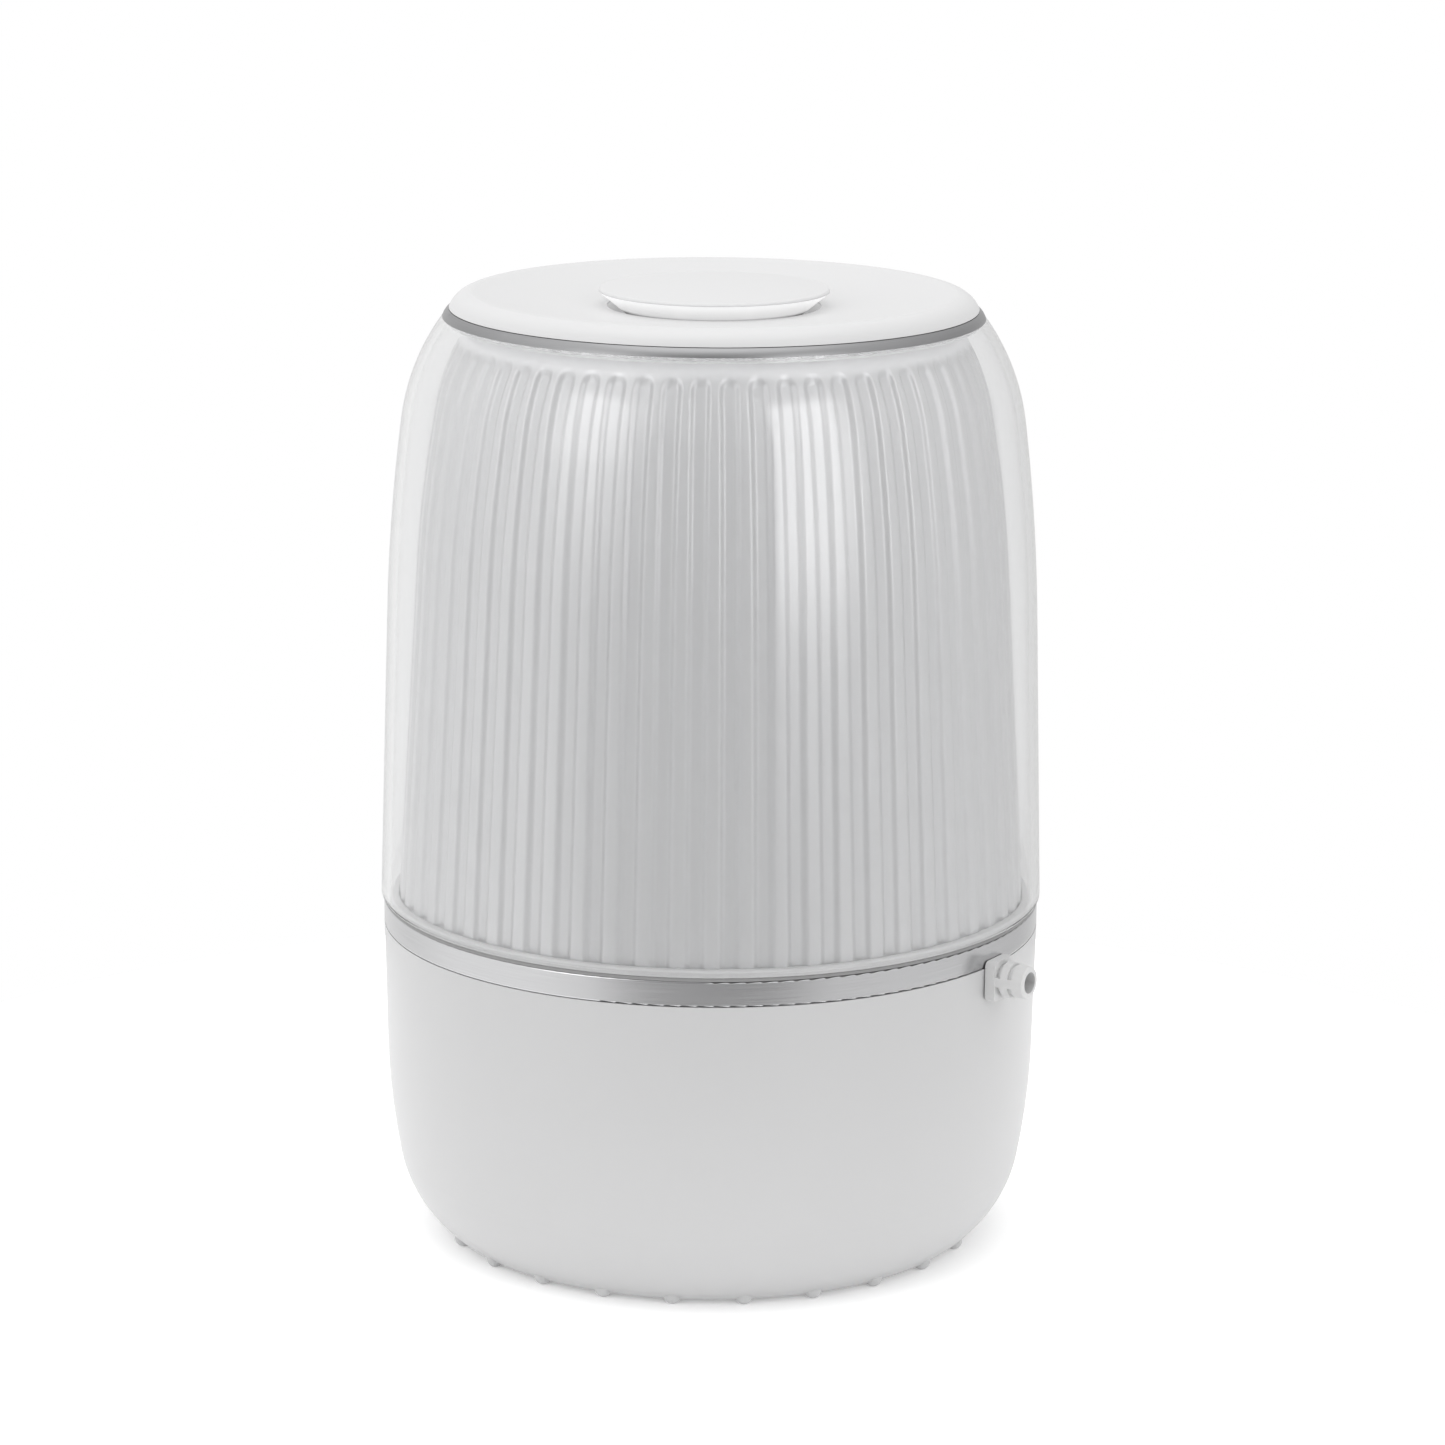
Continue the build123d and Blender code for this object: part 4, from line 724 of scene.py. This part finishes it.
def makeScrews(form, group):
    low, high = (corner.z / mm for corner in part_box(group["node"]))
    size = high - low
    bend = np.linspace(0, np.pi / 2, form["edgeSteps"])[1:]
    flat = np.linspace(0, form["head"] - form["edge"], form["crownSteps"])
    crown = -form["crown"] * (flat / flat[-1]) ** 2
    edgeTop = crown[-1] - form["edge"]
    below = [-form["headHeight"], -form["headHeight"], form["tip"] - size, -size, -size]
    away = np.concatenate([flat, flat[-1] + form["edge"] * np.sin(bend)])
    lower = [form["head"], form["shank"], form["shank"], form["shank"] - form["tip"], 0]
    away = np.concatenate([away, lower])
    drop = np.concatenate([crown, edgeTop + form["edge"] * np.cos(bend), below])
    turn = np.arange(form["turns"])[:, None] * 2 * np.pi / form["turns"]
    across, along = away * np.cos(turn), away * np.sin(turn)
    arm = np.minimum(np.abs(across), np.abs(along))
    ease = form["crossEase"]
    inArm = 1 - easeStep(arm, form["crossHalf"] - ease, form["crossHalf"] + ease)
    inReach = 1 - easeStep(away, form["crossReach"] - ease, form["crossReach"] + ease)
    onTop = (np.arange(len(away)) < len(flat))[None]
    up = size / 2 + drop - form["crossDepth"] * inArm * inReach * onTop
    screw = np.stack([across, along * group["facing"], up * group["facing"]], axis=-1)[:, ::-1]
    grid = screw[None] + solidMiddles(group["node"], form["reach"])[:, None, None]
    return addSurface(group["node"].replace("_s", "S"), grid * mm, closeAcross=True, poles=True)


for group in screwSets:
    seatPiece(makeScrews(screwForm, group), group["body"], "steel", group["node"])
print("screws made:", len(screwSets))

# Return spring, in millimetres: a round wire carried along a helix and capped at both ends
springForm = {"radius": 6.6, "wire": 0.9, "turns": 5, "stepsPerTurn": 48, "sides": 12, "travel": 2.0}


def makeSpring(form):
    low, high = (corner.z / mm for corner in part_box("button_spring"))
    rise = high - low - form["wire"]
    share = np.linspace(0, 1, form["turns"] * form["stepsPerTurn"] + 1)
    share = np.concatenate([share[:1], share, share[-1:]])
    thick = np.full(len(share), form["wire"] / 2)
    thick[[0, -1]] = 0
    turn = 2 * np.pi * form["turns"] * share
    out = np.stack([np.cos(turn), np.sin(turn), 0 * turn], axis=-1)
    climb = np.full(len(turn), rise / (2 * np.pi * form["turns"]))
    ahead = np.stack([-form["radius"] * np.sin(turn), form["radius"] * np.cos(turn), climb], axis=-1)
    side = np.cross(ahead / np.hypot(form["radius"], climb[0]), out)
    level = np.stack([0 * turn, 0 * turn, low + form["wire"] / 2 + rise * share], axis=-1)
    bend = (np.arange(form["sides"]) * 2 * np.pi / form["sides"])[:, None, None]
    wire = thick[None, :, None] * (np.cos(bend) * out[None] + np.sin(bend) * side[None])
    grid = form["radius"] * out + level + wire
    spring = addSurface("buttonSpring", grid * mm, closeAcross=True, poles=True)
    seatPiece(spring, "dome", "steel", "button_spring")
    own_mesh(spring)


makeSpring(springForm)
print("spring made")

# Lens caps, in millimetres: half an ellipse turned about its own axis, one on each light chip
lensForm = {"radius": 1.2, "height": 0.95, "reach": 5.0, "rise": 0.6, "steps": 9}
# Can tops, in millimetres: a flat disc with a rolled edge, one on each tall capacitor
canForm = {
    "radius": 3.5,
    "edge": 0.4,
    "floor": 0.05,
    "circle": 67.0,
    "angles": (-47.0, -38.5),
    "level": 97.8,
    "steps": 9,
}


# A closed profile from the axis out and back to it, turned about each of several places
def turnCopies(name, away, up, places, turns=32):
    turn = np.arange(turns)[:, None] * 2 * np.pi / turns
    shape = np.stack([away * np.cos(turn), away * np.sin(turn), up + 0 * turn], axis=-1)
    return addSurface(name, (shape[None] + places[:, None, None]) * mm, closeAcross=True, poles=True)


def makeLenses(form):
    bend = np.linspace(np.pi / 2, 0, form["steps"])
    away = np.concatenate([[0], form["radius"] * np.sin(bend)])
    up = np.concatenate([[0], form["height"] * np.cos(bend)])
    places = solidMiddles("light_chips", form["reach"]) + [0, 0, form["rise"]]
    return turnCopies("lensCaps", away, up, places)


def makeCanTops(form):
    bend = np.linspace(0, np.pi, form["steps"])
    roll = form["radius"] - form["edge"] * (1 - np.cos(bend)) / 2
    rise = np.maximum(form["floor"] * (bend > 0), form["edge"] * np.sin(bend))
    away = np.concatenate([[0], roll, [0]])
    up = np.concatenate([[0], rise, [form["floor"]]])
    turn = np.radians(form["angles"])
    across, along = form["circle"] * np.cos(turn), form["circle"] * np.sin(turn)
    places = np.stack([across, along, 0 * turn + form["level"]], axis=1)
    return turnCopies("canTops", away, up, places)


seatPiece(makeLenses(lensForm), "housing", "light_lens")
seatPiece(makeCanTops(canForm), "housing", "motor_steel")
print("lens caps and can tops made")

# Studio: a round white table, two softboxes, a broad top light and a room that is dim straight in front
studio = {
    "tableRadius": 0.32,
    "tableSides": 128,
    "tableColor": (0.93, 0.93, 0.93),
    "tableGlow": 0.2,
    "front": 0.36,
    "frontEdge": (0.35, 0.92),
    "low": 0.42,
    "lowEdge": (0.68, 0.97),
    "lowRise": (-0.27, -0.21),
    "back": 0.82,
    "backEdge": (0.1, 0.7),
    "right": 0.89,
    "left": 1.18,
    "sideEdge": (-0.8, 0.8),
    "above": 1.33,
    "aboveEdge": (0.2, 0.9),
}
# Azimuths are seen from the body, in degrees from the front to the right, and elevations above its middle
softboxes = [
    {
        "name": "rightSoftbox",
        "azimuths": (21.4, 23.0, 44.0, 60.0),
        "elevations": (-14.0, 2.0, 34.0, 41.0),
        "glow": 2.0,
    },
    {
        "name": "leftSoftbox",
        "azimuths": (-68.0, -54.0, -41.0, -22.0),
        "elevations": (-8.0, 14.0, 34.0, 41.0),
        "glow": 1.5,
    },
]
softboxReach = 2.2
softboxMiddle = 0.2
softboxSteps = 40
topLight = {"name": "topLight", "height": 2.0, "size": 1.6, "power": 6.0}


# Light table: a white sheet with a little light of its own, which isn't seen from underneath
def lightTable(setting):
    own = {"Emission_Color": (1.0, 1.0, 1.0, 1.0), "Emission_Strength": setting["tableGlow"]}
    material = mouldedPlastic("tableWhite", setting["tableColor"], 0.8, **own)
    tree = material.node_tree
    addVeil(tree, addNode(tree, "ShaderNodeNewGeometry").outputs["Backfacing"], (1.0, 1.0, 1.0))
    return material


def layTable(setting):
    turns = np.linspace(0, 2 * np.pi, setting["tableSides"], endpoint=False)
    rim = np.stack([np.cos(turns), np.sin(turns), 0 * turns], axis=1) * setting["tableRadius"]
    mesh = bpy.data.meshes.new("table")
    mesh.from_pydata(rim.tolist(), [], [list(range(setting["tableSides"]))])
    table = bpy.data.objects.new("table", mesh)
    scene.collection.objects.link(table)
    mesh.materials.append(lightTable(setting))


# Softbox: a piece of a cylinder about the body, in full glow between its inner marks, faded at its outer ones
def hangSoftbox(box):
    azimuth = np.radians(np.linspace(box["azimuths"][0], box["azimuths"][-1], softboxSteps))
    elevation = np.radians(np.linspace(box["elevations"][0], box["elevations"][-1], softboxSteps))
    across, up = np.meshgrid(azimuth, elevation, indexing="ij")
    places = [np.sin(across), -np.cos(across), np.tan(up)]
    grid = softboxReach * np.stack(places, axis=-1) + np.array([0, 0, softboxMiddle])
    panel = addSurface(box["name"], grid)
    ramp = (0.0, 1.0, 1.0, 0.0)
    sideGlow = np.interp(np.degrees(across), box["azimuths"], ramp)
    riseGlow = np.interp(np.degrees(up), box["elevations"], ramp)
    addLevels(panel, "glow", easeStep(sideGlow * riseGlow, 0, 1))
    material = bpy.data.materials.new(box["name"])
    material.use_nodes = True
    tree = material.node_tree
    lamp = addNode(tree, "ShaderNodeEmission")
    level = addNode(tree, "ShaderNodeAttribute", attribute_name="glow")
    tree.links.new(mathNode(tree, "MULTIPLY", level.outputs["Fac"], box["glow"]), lamp.inputs["Strength"])
    veil = addNode(tree, "ShaderNodeBsdfTransparent")
    both = addNode(tree, "ShaderNodeAddShader")
    tree.links.new(lamp.outputs[0], both.inputs[0])
    tree.links.new(veil.outputs[0], both.inputs[1])
    tree.links.new(both.outputs[0], tree.nodes["Material Output"].inputs["Surface"])
    panel.data.materials.append(material)
    panel.visible_camera = False
    panel.visible_shadow = False


def hangTopLight(lamp):
    light = bpy.data.lights.new(lamp["name"], "AREA")
    light.size = lamp["size"]
    light.energy = lamp["power"]
    hung = bpy.data.objects.new(lamp["name"], light)
    hung.location = (0, 0, lamp["height"])
    hung.visible_camera = False
    scene.collection.objects.link(hung)


# Room light by direction: dim straight in front, paler at the sides and above, and plain white to the eye
def paintRoom(setting):
    world = bpy.data.worlds.new("studioRoom")
    scene.world = world
    world.use_nodes = True
    tree = world.node_tree
    back = tree.nodes["Background"]
    back.inputs["Color"].default_value = (1.0, 1.0, 1.0, 1.0)
    coords = addNode(tree, "ShaderNodeTexCoord")
    across, along, up = splitVector(tree, coords.outputs["Generated"])
    sides = rampNode(tree, across, setting["sideEdge"], setting["left"], setting["right"])
    ahead = mathNode(tree, "MULTIPLY", along, -1.0)
    level = addNode(tree, "ShaderNodeMix")
    tree.links.new(rampNode(tree, up, setting["lowRise"]), level.inputs["Factor"])
    tree.links.new(rampNode(tree, ahead, setting["lowEdge"], 1.0, setting["low"]), level.inputs["A"])
    tree.links.new(rampNode(tree, ahead, setting["frontEdge"], 1.0, setting["front"]), level.inputs["B"])
    front = level.outputs["Result"]
    above = rampNode(tree, up, setting["aboveEdge"], 1.0, setting["above"])
    behind = rampNode(tree, along, setting["backEdge"], 1.0, setting["back"])
    flat = mathNode(tree, "MULTIPLY", mathNode(tree, "MULTIPLY", sides, front), behind)
    glow = mathNode(tree, "MULTIPLY", flat, above)
    path = addNode(tree, "ShaderNodeLightPath")
    seen = addNode(tree, "ShaderNodeMix")
    tree.links.new(path.outputs["Is Camera Ray"], seen.inputs["Factor"])
    tree.links.new(glow, seen.inputs["A"])
    seen.inputs["B"].default_value = 1.0
    tree.links.new(seen.outputs["Result"], back.inputs["Strength"])


layTable(studio)
for box in softboxes:
    hangSoftbox(box)
hangTopLight(topLight)
paintRoom(studio)
print("studio lit")
